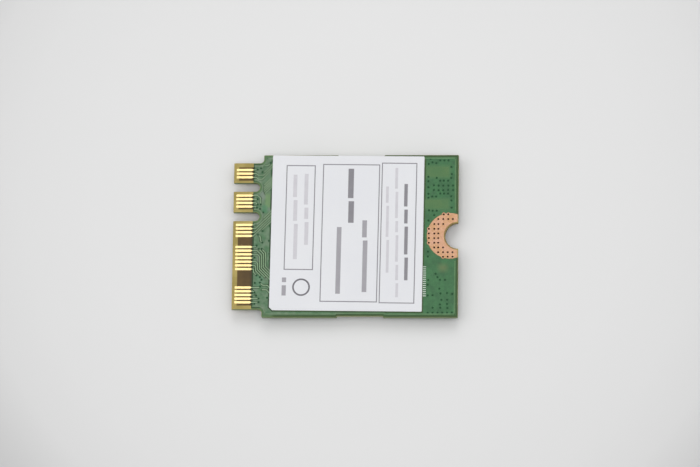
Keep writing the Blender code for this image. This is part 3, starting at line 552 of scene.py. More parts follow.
for x, y, half_x, half_y, soft, tone, share in FAINT_AREAS:
    area = within_box(tree, axes, (x * MM, y * MM), (half_x * MM, half_y * MM), soft * MM)
    area = calculate(tree, "MULTIPLY", area, label_face)
    color = mixed(tree, calculate(tree, "MULTIPLY", area, share), color, tone)
tree.links.new(color, shader.inputs["Base Color"])
mask_over_track = lacquer("mask_over_track", paint(150, 178, 142), paint(128, 160, 124), 0.0)[0]
mask_over_guard = lacquer("mask_over_guard", paint(84, 124, 80), paint(70, 112, 68), 0.62)[0]
mask_over_via = lacquer("mask_over_via", paint(15, 67, 32), paint(12, 59, 28), 0.02, 0.2)[0]
print("faint areas under the lacquer:", len(FAINT_AREAS))

# %% [markdown]
# Over bare laminate the lacquer is darkest between the tracks. It is paler along the board's rim and round
# the notches, and greyish in two windows beside the screw pad, which have no copper in any layer. Each
# tone has a mask made from coordinates, and the tones are mixed in one after another.

# %% Finish: solder mask over laminate
CLEAR_WINDOWS = ((12.2, 8.72, 1.5, 0.65), (12.1, 4.3, 1.5, 0.55))
mask_over_laminate, tree, shader, place, colors = lacquer(
    "mask_over_laminate", paint(25, 60, 17), paint(17, 49, 13), 0.02, 0.3
)
axes = put(tree, "ShaderNodeSeparateXYZ", {0: place}).outputs
clear = 0.0
for x, y, half_x, half_y in CLEAR_WINDOWS:
    window = within_box(tree, axes, (x * MM, y * MM), (half_x * MM, half_y * MM), 0.08 * MM)
    clear = calculate(tree, "MAXIMUM", window, clear)
clear = calculate(tree, "MULTIPLY", clear, between(tree, axes["Z"], BOARD_LOW, BOARD_HIGH))
from_middle = calculate(tree, "ABSOLUTE", axes["Y"])
before_shoulder = between(tree, axes["X"], -10.75 * MM, -10.65 * MM, 1.0, 0.0)
rim = calculate(tree, "MULTIPLY", between(tree, from_middle, 9.7 * MM, 9.85 * MM), before_shoulder)
rim = calculate(tree, "MAXIMUM", rim, between(tree, from_middle, 10.2 * MM, 10.35 * MM))
for notch in NOTCHES:
    bottom = (NOTCH_END_X + 0.25 * MM, notch)
    round_notch = within_box(tree, axes, bottom, (0.6 * MM, 0.75 * MM), 0.1 * MM)
    rim = calculate(tree, "MAXIMUM", round_notch, rim)
past_tracks = between(tree, axes["X"], -9.8 * MM, -9.3 * MM)
contact_end_tone = tone_of(tree, place, paint(80, 112, 70), paint(70, 102, 62), 900.0, 5000.0)
screw_end_tone = tone_of(tree, place, paint(46, 78, 30), paint(38, 68, 26), 900.0, 5000.0)
window_tone = tone_of(tree, place, paint(80, 115, 66), paint(65, 109, 64), 500.0, 5000.0)
color = mixed(tree, rim, colors["Color"], contact_end_tone["Color"])
color = mixed(tree, past_tracks, color, screw_end_tone["Color"])
color = mixed(tree, clear, color, window_tone["Color"])
tree.links.new(color, shader.inputs["Base Color"])
print("lacquer over laminate:", len(tree.nodes), "nodes")

# %% [markdown]
# **Metals.** Contacts have hard gold over nickel. The screw pad and the plated holes are coppery. Shield
# and solder are tin. Rolled or plated metal shows faint drawn lines and small changes of gloss, so one
# group makes streaks along a chosen direction, and each metal sets its colour and roughness from it.

# %% Group: metal grain
metal_grain, given, made = shader_group(
    "metal_grain",
    [
        ("Place", VECTOR, None),
        ("Stretch", VECTOR, (1.0, 14.0, 14.0)),
        ("Lines per metre", FLOAT, 1500.0),
        ("Smoothest", FLOAT, 0.2),
        ("Roughest", FLOAT, 0.4),
    ],
    [("Roughness", FLOAT), ("Streak", FLOAT)],
)
values = {"Vector": given["Place"], "Scale": given["Stretch"]}
stretched = put(metal_grain, "ShaderNodeMapping", values).outputs[0]
streak = noise(metal_grain, stretched, given["Lines per metre"], 4.0, 0.6)
cloud = noise(metal_grain, given["Place"], 900.0, 2.0)
streak_part = calculate(metal_grain, "MULTIPLY", streak, 0.75)
cloud_part = calculate(metal_grain, "MULTIPLY", cloud, 0.25)
gloss = calculate(metal_grain, "ADD", streak_part, cloud_part)
values = {0: gloss, 1: 0.35, 2: 0.65, 3: given["Smoothest"], 4: given["Roughest"]}
metal_grain.links.new(put(metal_grain, "ShaderNodeMapRange", values).outputs[0], made["Roughness"])
metal_grain.links.new(streak, made["Streak"])


def metal(name, tone, other, gloss_range, stretch=(1.0, 14.0, 14.0), lines=1500.0, patches=900.0):
    material, tree, shader, place = new_finish(name)
    smoothest, roughest = gloss_range
    colors = tone_of(tree, place, tone, other, patches, 12000.0, 0.35)
    tree.links.new(colors["Color"], shader.inputs["Base Color"])
    shader.inputs["Metallic"].default_value = 1.0
    grain = put(tree, "ShaderNodeGroup", node_tree=metal_grain)
    tree.links.new(place, grain.inputs["Place"])
    grain.inputs["Stretch"].default_value = stretch
    grain.inputs["Lines per metre"].default_value = lines
    grain.inputs["Smoothest"].default_value = smoothest
    grain.inputs["Roughest"].default_value = roughest
    tree.links.new(grain.outputs["Roughness"], shader.inputs["Roughness"])
    bumped(tree, shader, grain.outputs["Streak"], 0.002 * MM, 0.5)
    return material


EVEN = (3.0, 3.0, 3.0)
contact_gold = metal("contact_gold", paint(224, 203, 146), paint(212, 188, 128), (0.3, 0.44))
pad_copper = metal("pad_copper", paint(170, 134, 116), paint(168, 132, 96), (0.5, 0.66), EVEN)
barrel_copper = metal("barrel_copper", paint(84, 46, 26), paint(64, 34, 20), (0.4, 0.6), EVEN)
solder_tin = metal("solder_tin", paint(200, 202, 204), paint(176, 178, 182), (0.22, 0.4), EVEN)
tin_tones = paint(205, 203, 197), paint(202, 200, 195)
shield_tin = metal("shield_tin", *tin_tones, (0.34, 0.39), (1.0, 22.0, 22.0), 700.0, 240.0)
print("metals:", [m.name for m in (contact_gold, pad_copper, barrel_copper, shield_tin, solder_tin)])

# %% [markdown]
# **Paper, ink and plastics.** The label is smooth coated paper, so it has almost no texture, but
# a faint fibre and a slight waviness keep it from looking like a plain slab. Ink lies dead flat on it.
# The chips are moulded resin filled with fine glass, and the capacitors are fired ceramic.

# %% Finish: paper, ink and plastics
def matte(name, tone, other, low, high, patches, grains, depth, grain_share=0.5):
    material, tree, shader, place = new_finish(name)
    colors = tone_of(tree, place, tone, other, patches, grains, grain_share)
    tree.links.new(colors["Color"], shader.inputs["Base Color"])
    tree.links.new(between(tree, colors["Grain"], 0.3, 0.7, low, high), shader.inputs["Roughness"])
    bumped(tree, shader, colors["Grain"], depth * MM, 0.6)
    return material


label_paper = matte(
    "label_paper", paint(223, 224, 227), paint(219, 220, 224), 0.5, 0.62, 180.0, 9000.0, 0.004
)
INK_TONES = {"ink_ring": 96, "ink_bold": 122, "ink_text": 150, "ink_fine": 194}
inks = {}
for name, level in INK_TONES.items():
    tone, other = paint(level, level - 2, level + 4), paint(level + 10, level + 8, level + 13)
    inks[name] = matte(name, tone, other, 0.5, 0.6, 900.0, 26000.0, 0.001)
DULL_FINISHES = {
    "legend_ink": (paint(196, 206, 196), paint(170, 184, 170), 0.5, 0.65, 900.0, 14000.0, 0.003),
    "chip_moulding": (paint(44, 44, 46), paint(34, 34, 36), 0.5, 0.7, 600.0, 20000.0, 0.004),
    "ceramic": (paint(170, 140, 108), paint(150, 120, 92), 0.35, 0.5, 900.0, 16000.0, 0.003),
    "ferrite": (paint(84, 84, 88), paint(70, 70, 74), 0.5, 0.7, 900.0, 18000.0, 0.005),
    "insulator": (paint(226, 220, 206), paint(214, 206, 190), 0.4, 0.55, 900.0, 16000.0, 0.003),
}
dull = {name: matte(name, *values) for name, values in DULL_FINISHES.items()}
print("dull finishes:", 1 + len(inks) + len(dull))

# %% [markdown]
# **The core of the board.** One outline is extruded, its contact edge is bevelled on both faces so
# that it slides into the socket, and the via holes of the screw pad are drilled right through.

# %% Piece: laminate core
PAD_HOLES = [
    (13.06, 2.91), (13.66, 2.91), (12.34, 2.27), (13.0, 2.27), (13.66, 2.27), (14.27, 2.27),
    (11.82, 1.59), (12.35, 1.59), (13.0, 1.59), (11.1, 0.94), (11.82, 0.94), (12.35, 0.94),
    (11.1, 0.31), (11.82, 0.31), (12.35, 0.31), (11.1, -0.32), (11.82, -0.32), (12.35, -0.32),
    (11.1, -0.95), (11.82, -0.95), (12.35, -0.95), (11.82, -1.58), (12.35, -1.58), (13.0, -1.58),
    (12.35, -2.23), (13.0, -2.23), (13.62, -2.23), (14.25, -2.23), (13.0, -2.84), (13.62, -2.84),
    (14.27, -2.84),
]
PAD_HOLES = [(x * MM, y * MM) for x, y in PAD_HOLES]
HOLE_RADIUS = 0.135 * MM
LOBE_RADIUS, LOBE_REACH = 0.25 * MM, 0.42 * MM
FAR = 1.0 * MM
BEVEL_WEDGE = ((-0.35, -0.24), (0.7, 0.12), (-0.35, 0.12))


def drills(centres, radius, low, high, steps=12):
    bm = bmesh.new()
    for centre in centres:
        add_prism(bm, circle(centre, radius, steps), low, high)
    return bm


bm = bmesh.new()
add_prism(bm, board_outline(), LAMINATE_LOW, LAMINATE_HIGH)
board_core = new_piece("board_core", bm, laminate)
bm = bmesh.new()
for face, side in ((LAMINATE_HIGH, 1), (LAMINATE_LOW, -1)):
    wedge = [(CONTACT_EDGE_X + x * MM, face + side * z * MM) for x, z in BEVEL_WEDGE]
    add_loft(bm, [[(x, y, z) for x, z in wedge] for y in (-HALF_BOARD, HALF_BOARD)])
combine(board_core, bm)
combine(board_core, drills(PAD_HOLES, HOLE_RADIUS, LAMINATE_LOW - FAR, LAMINATE_HIGH + FAR))
print("core:", len(board_core.data.polygons), "faces with", len(PAD_HOLES), "drilled holes")

# %% [markdown]
# **Contacts.** Each contact is a narrow strip of gold-plated copper, at a pitch of 0.5 mm. Its front
# end is a little rounded, and at the back it narrows to the track that goes in under the mask. As they
# repeat, a Geometry Nodes tree makes one strip from a finely divided box, shapes it along its
# length, and sets it on one point for each place.

# %% Tree: contact strips
tree, given, made = geometry_tree(
    "contact_strips",
    {
        "Length": FLOAT,
        "Width": FLOAT,
        "Track width": FLOAT,
        "Thickness": FLOAT,
        "Material": "NodeSocketMaterial",
    },
)
size = {index: given.outputs[name] for index, name in enumerate(("Length", "Width", "Thickness"))}
size = put(tree, "ShaderNodeCombineXYZ", size).outputs[0]
strip = put(tree, "GeometryNodeMeshCube", {"Size": size, "Vertices X": 40}).outputs["Mesh"]
spot = put(tree, "GeometryNodeInputPosition").outputs[0]
spot = put(tree, "ShaderNodeSeparateXYZ", {0: spot}).outputs
along = calculate(tree, "ADD", calculate(tree, "DIVIDE", spot["X"], given.outputs["Length"]), 0.5)


def eased(tree, value, low, high, first, last):
    values = {0: value, 1: low, 2: high, 3: first, 4: last}
    return put(tree, "ShaderNodeMapRange", values, interpolation_type="SMOOTHSTEP").outputs[0]


least = calculate(tree, "DIVIDE", given.outputs["Track width"], given.outputs["Width"])
front, back = eased(tree, along, 0.0, 0.03, 0.7, 1.0), eased(tree, along, 0.87, 0.945, 1.0, least)
narrow = calculate(tree, "MULTIPLY", spot["Y"], calculate(tree, "MULTIPLY", front, back))
moved = put(tree, "ShaderNodeCombineXYZ", {0: spot["X"], 1: narrow, 2: spot["Z"]}).outputs[0]
shaped = put(tree, "GeometryNodeSetPosition", {"Geometry": strip, "Position": moved}).outputs[0]
end_tree(tree, given, made, instances(tree, given, shaped).outputs[0])
contact_strips = tree

# %% [markdown]
# The places repeat the standard pattern of such a card: pins stand 0.5 mm apart, the two sides are half a
# step out of line, and some places are left out for the notches and for pins that the card doesn't use.

# %% Piece: contact fingers
FINGER_START, FINGER_END = -14.63 * MM, MASK_EDGE_X + 0.08 * MM
FINGER_PITCH, FINGER_WIDTH, TAIL_WIDTH = 0.5 * MM, 0.3 * MM, 0.1 * MM
FINGER_SIDES = {
    "label_side": (9.0 * MM, ((0, 3), (7, 4), (15, 4), (21, 7), (32, 5)), LAMINATE_HIGH),
    "shield_side": (9.25 * MM, ((0, 4), (8, 4), (16, 22)), LAMINATE_LOW),
}


def finger_places(first, groups):
    """The middles of the contacts across the card, leaving out what would hang over the tongue's side."""
    steps = [index for start, count in groups for index in range(start, start + count)]
    places = [first - index * FINGER_PITCH for index in steps]
    return [y for y in places if abs(y) + FINGER_WIDTH / 2 < HALF_TONGUE]


contact_fingers = []
for side, (first, groups, face) in FINGER_SIDES.items():
    points = [((FINGER_START + FINGER_END) / 2, y, face) for y in finger_places(first, groups)]
    values = {
        "Length": FINGER_END - FINGER_START,
        "Width": FINGER_WIDTH,
        "Track width": TAIL_WIDTH,
        "Thickness": 2 * PLATING,
        "Material": contact_gold,
    }
    contact_fingers.append(grow("contact_fingers_" + side, contact_strips, points, [], values))

# %% [markdown]
# **Screw pad.** Round the half-moon recess the mask is left open over a copper pad, which a screw
# presses on and earths. Where vias stand on the edge of the pad, the opening bulges out round them, so the
# pad's outline is scalloped. Booleans trim and drill it, as every cutter is a plain prism.

# %% Piece: screw pads
def pad_outline_discs(bm, margin, low, high):
    """The pad's disc with a small lobe round each hole that stands near its rim."""
    add_prism(bm, circle(PAD_CENTRE, PAD_RADIUS + margin, 72), low, high)
    for x, y in PAD_HOLES:
        if math.dist((x, y), PAD_CENTRE) > PAD_RADIUS - LOBE_REACH:
            add_prism(bm, circle((x, y), LOBE_RADIUS + margin, 16), low - 0.1 * MM, high + 0.1 * MM)


def screw_pad(name, low, high):
    bm = bmesh.new()
    outline = arc((SCREW_END_X, 0), SCREW_RADIUS + 0.16 * MM, 267, 93, 40)
    outline += [(SCREW_END_X - 0.1 * MM, 3.6 * MM), (10.4 * MM, 3.6 * MM)]
    outline += [(10.4 * MM, -3.6 * MM), (SCREW_END_X - 0.1 * MM, -3.6 * MM)]
    add_prism(bm, outline, low, high)
    pad = new_piece(name, bm, pad_copper)
    bm = bmesh.new()
    pad_outline_discs(bm, 0.0, low - FAR, high + FAR)
    combine(pad, bm, "INTERSECT")
    combine(pad, drills(PAD_HOLES, HOLE_RADIUS, low - FAR, high + FAR))
    pad.data.materials.clear()
    pad.data.materials.append(pad_copper)
    return pad


screw_pads = [
    screw_pad("screw_pad_label_side", LAMINATE_HIGH - PLATING, LAMINATE_HIGH + PLATING),
    screw_pad("screw_pad_shield_side", LAMINATE_LOW - PLATING, LAMINATE_LOW + PLATING),
]

for pad in screw_pads:
    print(pad.name, len(pad.data.polygons), "faces")

# %% [markdown]
# **Plated holes.** A thin copper tube lines every hole. The tree bends a small rectangle round a circle and
# sets the ring on each place. Later the same tree makes the low rims round the covered vias.

# %% Piece: plated holes
tree, given, made = geometry_tree(
    "round_tubes", {"Radius": FLOAT, "Wall": FLOAT, "Height": FLOAT, "Material": "NodeSocketMaterial"}
)
path = {"Resolution": 12, "Radius": given.outputs["Radius"]}
path = put(tree, "GeometryNodeCurvePrimitiveCircle", path).outputs[0]
wall = {"Width": given.outputs["Wall"], "Height": given.outputs["Height"]}
wall = put(tree, "GeometryNodeCurvePrimitiveQuadrilateral", wall).outputs[0]
tube = put(tree, "GeometryNodeCurveToMesh", {"Curve": path, "Profile Curve": wall}).outputs[0]
end_tree(tree, given, made, instances(tree, given, tube).outputs[0])
round_tubes = tree
values = {"Radius": 0.122 * MM, "Wall": 0.026 * MM, "Height": 0.79 * MM, "Material": barrel_copper}
points = [(x, y, (BOARD_LOW + BOARD_HIGH) / 2) for x, y in PAD_HOLES]
plated_holes = grow("plated_holes", round_tubes, points, [], values)

# %% [markdown]
# **Vias under the mask.** Small plated holes tie the copper layers together. The lacquer fills them, so
# each looks like a dark dot in a shallow ring. The right end of the card has rows of them along the
# antenna lines, and the strip beside the contacts has one wherever a track changes layer.

# %% Places of the covered vias
RIGHT_VIAS = [
    (11.25, 10.49), (11.51, 10.0), (12.02, 9.89), (11.0, 9.78), (12.53, 10.26), (13.08, 10.26),
    (13.63, 10.26), (14.03, 9.36), (14.08, 8.39), (14.01, 7.86), (10.98, 8.02), (10.98, 7.42),
    (12.08, 7.87), (12.55, 7.49), (13.03, 7.49), (13.61, 7.49), (11.72, 6.86), (12.34, 6.82),
    (12.96, 6.82), (13.65, 6.82), (14.27, 6.82), (10.99, 6.6), (11.72, 6.22), (12.35, 6.18),
    (12.96, 6.18), (13.62, 6.22), (14.28, 6.22), (11.0, 5.7), (12.57, 5.74), (13.08, 5.73),
    (13.62, 5.73), (11.0, 5.18), (11.51, 5.33), (12.02, 5.33), (14.03, 5.36), (14.07, 4.8),
    (14.11, 3.83), (11.09, 3.46), (11.57, 3.39), (12.11, 3.39), (11.79, 2.79), (11.03, 2.08),
    (11.0, -2.14), (11.0, -2.81), (12.04, -5.14), (12.3, -5.59), (11.07, -5.99), (11.0, -6.62),
    (12.63, -5.96), (13.28, -5.96), (12.56, -7.14), (12.71, -7.8), (13.58, -7.73), (14.27, -7.84),
    (11.66, -8.03), (11.01, -8.06), (13.59, -8.65), (12.83, -8.65), (12.65, -9.28), (13.59, -9.21),
    (11.68, -9.72), (12.69, -9.72), (13.63, -9.76), (11.03, -10.39), (11.68, -10.39), (12.34, -10.39),
    (12.95, -10.38), (13.6, -10.38), (14.22, -10.38),
]
LEFT_VIAS = [
    (-11.85, 9.04), (-11.4, 9.22), (-11.18, 8.72), (-10.01, 8.92), (-11.59, 8.29), (-11.74, 7.74),
    (-9.98, 6.2), (-10.1, 9.95), (-11.76, 5.0), (-11.75, 4.26), (-11.35, 4.28), (-11.85, 3.85),
    (-11.43, 3.67), (-10.98, 3.18), (-11.95, 1.5), (-11.05, 0.66), (-11.64, 0.15), (-10.12, 1.38),
    (-11.04, -0.9), (-10.15, -0.67), (-11.8, -1.32), (-11.12, -1.77), (-11.5, -1.77), (-12.06, -2.94),
    (-10.09, -2.43), (-10.08, -3.39), (-11.74, -5.35), (-11.28, -5.6), (-11.08, -5.95), (-11.27, -6.34),
    (-11.95, -6.38), (-11.24, -6.86), (-11.98, -7.67), (-11.75, -8.1), (-11.42, -8.49), (-11.41, -8.97),
    (-11.97, -9.2), (-10.27, -8.39),
]
COVERED_VIAS = [(x * MM, y * MM) for x, y in RIGHT_VIAS + LEFT_VIAS]
VIA_RADIUS, VIA_RING = 0.16 * MM, 0.022 * MM
print("covered vias:", len(COVERED_VIAS))

# %% [markdown]
# **Tracks of the label side.** Beside the contacts the copper is split into narrow tracks. Each leaves a
# contact, and ends at a via or runs off at 45 degrees beside its neighbours. A pale guard line follows the
# card's rim just inside it. Each track is only a chain of points at this stage, because the same chains are
# used twice: to sweep the tracks themselves, and to cut the poured copper back round them.

# %% Paths of the tracks, label side
def in_metres(paths):
    return [[(x * MM, y * MM) for x, y in path] for path in paths]


label_tracks = [
    [(-12.4, 9.0), (-11.85, 9.04)],
    [(-12.4, 8.5), (-12.0, 8.5), (-11.79, 8.29), (-11.0, 8.29), (-9.5, 9.79)],
    [(-12.4, 8.0), (-12.0, 8.0), (-11.74, 7.74), (-11.19, 7.74), (-10.01, 8.92)],
    [(-11.18, 8.72), (-10.93, 8.72), (-9.5, 10.15)],
    [(-11.4, 9.22), (-11.0, 9.62), (-10.45, 9.62), (-10.1, 9.95)],
    [(-10.95, 6.92), (-9.4, 8.47)],
    [(-10.95, 6.58), (-9.4, 8.13)],
    [(-10.95, 6.29), (-9.4, 7.84)],
    [(-10.9, 6.03), (-9.4, 7.53)],
    [(-10.8, 5.78), (-9.4, 7.18)],
    [(-12.4, 5.5), (-11.75, 5.5), (-11.35, 5.1), (-11.35, 4.28)],
    [(-12.4, 5.0), (-11.76, 5.0)],
    [(-12.4, 4.5), (-11.99, 4.5), (-11.75, 4.26)],
    [(-12.4, 4.0), (-12.0, 4.0), (-11.85, 3.85)],
    [(-12.4, 1.5), (-11.95, 1.5)],
    [(-10.95, 2.41), (-9.4, 3.96)],
    [(-12.4, 1.0), (-11.98, 1.0), (-9.4, 3.58)],
    [(-12.4, 0.5), (-12.1, 0.5), (-9.4, 3.2)],
    [(-12.4, 0.0), (-12.25, 0.0), (-9.4, 2.85)],
    [(-11.05, 0.66), (-11.05, 0.85), (-9.4, 2.5)],
    [(-11.64, 0.15), (-11.3, -0.19), (-11.3, -0.64), (-11.04, -0.9)],
    [(-12.4, -1.5), (-12.0, -1.5), (-11.8, -1.32)],
    [(-11.12, -1.77), (-10.6, -2.29), (-10.6, -4.1), (-9.5, -5.2)],
    [(-11.5, -1.77), (-10.87, -2.4), (-10.87, -4.25), (-9.5, -5.62)],
    [(-12.4, -2.0), (-11.72, -2.0), (-11.12, -2.6), (-11.12, -4.38), (-9.5, -6.0)],
    [(-12.4, -2.5), (-11.7, -2.5), (-11.37, -2.83), (-11.37, -4.5), (-9.5, -6.37)],
    [(-12.4, -3.0), (-12.06, -2.94)],
    [(-12.4, -3.5), (-11.85, -3.5), (-11.62, -3.73), (-11.62, -4.6), (-10.6, -5.62)],
    [(-12.4, -4.0), (-12.05, -4.0), (-11.87, -4.18), (-11.87, -4.75), (-11.28, -5.34), (-11.28, -5.6)],
    [(-12.4, -4.5), (-12.15, -4.5), (-12.15, -4.94), (-11.74, -5.35)],
    [(-12.4, -7.0), (-11.4, -7.0), (-11.24, -6.86)],
    [(-12.4, -7.5), (-12.15, -7.5), (-11.98, -7.67)],
    [(-12.4, -8.0), (-11.85, -8.0), (-11.75, -8.1)],
    [(-12.4, -8.5), (-11.42, -8.49)],
    [(-12.4, -9.0), (-11.41, -8.97)],
    [(-11.27, -6.34), (-10.9, -6.7), (-10.3, -6.7), (-9.5, -7.5)],
    [(-11.0, -7.3), (-10.4, -7.3), (-9.5, -8.2)],
]


def stopped_at_vias(path):
    """Shorten both ends of a chain where they reach a via, so that its dark plug stays clear."""
    path = [Vector(point) for point in path]
    for end, before in ((0, 1), (-1, -2)):
        if any((path[end] - Vector(via)).length < 0.05 for via in LEFT_VIAS):
            path[end] += (path[before] - path[end]).normalized() * VIA_RADIUS / MM
    return [tuple(point) for point in path]


label_tracks = in_metres([stopped_at_vias(path) for path in label_tracks])
# Painted shadow: a dark moat of bare low lacquer runs along the label's left, lower and right edges,
# standing for the thin shadow that the label casts on the board.
LABEL_SHADOW_PATH = [(-9.88, 10.4), (-10.04, -9.66), (-9.56, -10.13), (10.3, -10.33), (10.56, 10.5)]
label_shadow_lines = in_metres([LABEL_SHADOW_PATH])

GUARD_INSET = 0.4 * MM
guard = board_outline(GUARD_INSET, MASK_EDGE_X + 0.12 * MM)
notch_points = NOTCH_STEPS + 3
corner = next(index for index, (x, y) in enumerate(guard) if x > SCREW_END_X - 0.45 * MM)
guard_paths = [guard[:corner + CORNER_STEPS + 1] + [(SCREW_END_X - GUARD_INSET, -3.4 * MM)]]
guard_paths.append([(x, -y) for x, y in guard_paths[0]])
start = len(guard) - 2 * notch_points
guard_paths += [guard[start:start + notch_points], guard[start + notch_points:]]
print("tracks:", len(label_tracks), "guard lines:", len(guard_paths))

# %% [markdown]
# **Tracks of the shield side.** Here the contacts lead straight towards the shield, and every third one
# ends at a via. Two pairs of tracks carry the coupling capacitors. From each antenna receptacle one wide
# line runs through its matching capacitor and in under the shield, with bare laminate on both sides of it.

# %% Paths of the tracks, shield side
RECEPTACLE_X, RECEPTACLE_YS = 13.45, (8.75, 4.65)
CLEAR_OF_LEADS = ((7.2, 9.7), (-1.9, -0.1), (-9.6, -7.2))
shield_tracks = [
    [(-11.85, -0.75), (-11.6, -0.6), (-11.45, -0.6)],
    [(-11.85, -1.25), (-11.6, -1.4), (-11.45, -1.4)],
    [(-10.5, -0.6), (-9.9, -0.6)],
    [(-10.5, -1.4), (-9.9, -1.4)],
]
lead_ends = []
first, groups = FINGER_SIDES["shield_side"][:2]
for index, y in enumerate(finger_places(first, groups)):
    level = y / MM
    short = index % 3 == 1 or any(low < level < high for low, high in CLEAR_OF_LEADS)
    reach = -11.85 if short else -9.9
    if short:
        lead_ends.append((reach * MM, y))
    shield_tracks.append([(-12.4, level), (reach, level)])
shield_tracks = in_metres(shield_tracks)
antenna_lines = in_metres([[(9.4, y), (12.5, y)] for y in RECEPTACLE_YS])

STITCH_X = [-9.4 + 0.95 * index for index in range(26)]
stitches = [(x * MM, side * 10.31 * MM) for x in STITCH_X if not -1.6 < x < 5.7 for side in (1, -1)]


def clear_of_parts(x, y):
    """True where a via of the shield side stands clear of the receptacles and the antenna lines."""
    away = min(abs(y - line * MM) for line in RECEPTACLE_YS)
    near_line = away < 0.85 * MM and x < 12.7 * MM
    near_receptacle = away < 1.6 * MM and abs(x - RECEPTACLE_X * MM) < 1.3 * MM
    return not near_line and not near_receptacle


right_vias = [(x * MM, y * MM) for x, y in RIGHT_VIAS]
UNDER_VIAS = stitches + lead_ends + [place for place in right_vias if clear_of_parts(*place)]
print("tracks of the shield side:", len(shield_tracks), "vias:", len(UNDER_VIAS))

# %% [markdown]
# ** Lacquer skins.** The low skin is the board's outline, a hair inside the routed edge and open over
# the screw pad. The high skin stands on it wherever there is poured copper: it stays 0.28 mm back from
# the edge, and is cut away round the vias, the antenna lines and the tracks, and over the clear windows.
# It is also cut along the label's edges, so that the dark low skin shows there as painted shadow of the
# label.
# Booleans suit this, because every cutter is a plain prism.

# %% Piece: lacquer skins of both sides
def layer(side, deep, shallow):
    """Low and high z of a layer between two depths under the board's outer face, on either side."""
    if side == "label_side":
        return BOARD_HIGH - deep, BOARD_HIGH - shallow
    return BOARD_LOW + shallow, BOARD_LOW + deep


def swept_band(bm, path, width, low, high):
    """A straight-sided band along each step of a path, used as a cutter."""
    for (x1, y1), (x2, y2) in zip(path, path[1:]):
        run = Vector((x2 - x1, y2 - y1))
        middle = ((x1 + x2) / 2, (y1 + y2) / 2)
        size = (run.length + width, width)
        add_prism(bm, rectangle(middle, size, math.atan2(run.y, run.x)), low, high)


MOAT_WIDTH = 0.27 * MM


def low_skin(side):
    low, high = layer(side, BOARD_HIGH - LAMINATE_HIGH, RELIEF)
    bm = bmesh.new()
    add_prism(bm, board_outline(0.025 * MM, MASK_EDGE_X), low, high)
    skin = new_piece("low_skin_" + side, bm, mask_over_laminate)
    bm = bmesh.new()
    pad_outline_discs(bm, 0.012 * MM, low - FAR, high + FAR)
    return combine(skin, bm)


def high_skin(side, vias, windows, moats_and_shadow_lines):
    low, high = layer(side, 1.5 * RELIEF, 0.004 * MM)
    bm = bmesh.new()
    add_prism(bm, board_outline(0.28 * MM, MASK_EDGE_X + 0.2 * MM), low, high)
    skin = new_piece("high_skin_" + side, bm, mask_over_copper)
    bm = bmesh.new()
    pad_outline_discs(bm, 0.03 * MM, low - FAR, high + FAR)
    for x, y, size_x, size_y in windows:
        add_prism(bm, rectangle((x * MM, y * MM), (size_x * MM, size_y * MM)), low - FAR, high + FAR)
    # Moats round the tracks are real cut-backs of the copper; those along the label's edges are painted
    # shadow.
    for path in moats_and_shadow_lines:
        swept_band(bm, path, MOAT_WIDTH, low - FAR, high + FAR)
    combine(skin, bm)
    return combine(skin, drills(vias, VIA_RADIUS + VIA_RING, low - FAR, high + FAR, 14))


LABEL_WINDOWS = [(x, y, 2 * half_x, 2 * half_y) for x, y, half_x, half_y in CLEAR_WINDOWS]
SHIELD_WINDOWS = [(10.9, y, 3.4, 1.1) for y in RECEPTACLE_YS]
skins = [
    low_skin("label_side"),
    low_skin("shield_side"),
    high_skin("label_side", COVERED_VIAS, LABEL_WINDOWS, label_tracks + label_shadow_lines),
    high_skin("shield_side", UNDER_VIAS, SHIELD_WINDOWS, shield_tracks),
]
for skin in skins:
    print(skin.name, len(skin.data.polygons), "faces")

# %% [markdown]
# A tree turns the chains of points into tracks: each chain becomes a curve, and a low flat profile is swept
# along it. The same tree serves the tracks, the guard lines and the antenna lines, with other widths.

# %% Piece: tracks and guard lines
tree, given, made = geometry_tree(
    "swept_tracks", {"Width": FLOAT, "Height": FLOAT, "Material": "NodeSocketMaterial"}
)
curve = put(tree, "GeometryNodeMeshToCurve", {0: given.outputs["Geometry"]}).outputs[0]
size = {"Width": given.outputs["Width"], "Height": given.outputs["Height"]}
profile = put(tree, "GeometryNodeCurvePrimitiveQuadrilateral", size).outputs[0]
swept = {"Curve": curve, "Profile Curve": profile, "Fill Caps": True}
end_tree(tree, given, made, put(tree, "GeometryNodeCurveToMesh", swept).outputs[0])
swept_tracks = tree


def chains(paths, z):
    """Points and edges of several separate chains, at one height."""
    points, edges = [], []
    for path in paths:
        first = len(points)
        points += [(x, y, z) for x, y in path]
        edges += [(first + index, first + index + 1) for index in range(len(path) - 1)]
    return points, edges


def sweep(name, side, paths, width, shallow, finish):
    low, high = layer(side, shallow + 1.4 * RELIEF, shallow)
    points, edges = chains(paths, (low + high) / 2)
    values = {"Width": width, "Height": high - low, "Material": finish}
    return grow(name + "_" + side, swept_tracks, points, edges, values)


TRACK_WIDTH, LEAD_WIDTH, GUARD_WIDTH, ANTENNA_WIDTH = 0.12 * MM, 0.14 * MM, 0.22 * MM, 0.36 * MM
TRACK_DEPTH, GUARD_DEPTH = 0.002 * MM, 0.001 * MM
sweeps = [
    sweep("tracks", "label_side", label_tracks, TRACK_WIDTH, TRACK_DEPTH, mask_over_track),
    sweep("guard_line", "label_side", guard_paths, GUARD_WIDTH, GUARD_DEPTH, mask_over_guard),
    sweep("tracks", "shield_side", shield_tracks, LEAD_WIDTH, TRACK_DEPTH, mask_over_guard),
    sweep("guard_line", "shield_side", guard_paths, GUARD_WIDTH, GUARD_DEPTH, mask_over_guard),
    sweep("antenna_lines", "shield_side", antenna_lines, ANTENNA_WIDTH, GUARD_DEPTH, mask_over_guard),
]

# %% [markdown]
# A covered via is a dark plug of lacquer with a low rim round it. One plug is made in a tree and set on
# every place, and the tube tree from the plated holes makes the rims. So hundreds of small shapes cost
# only a list of points.

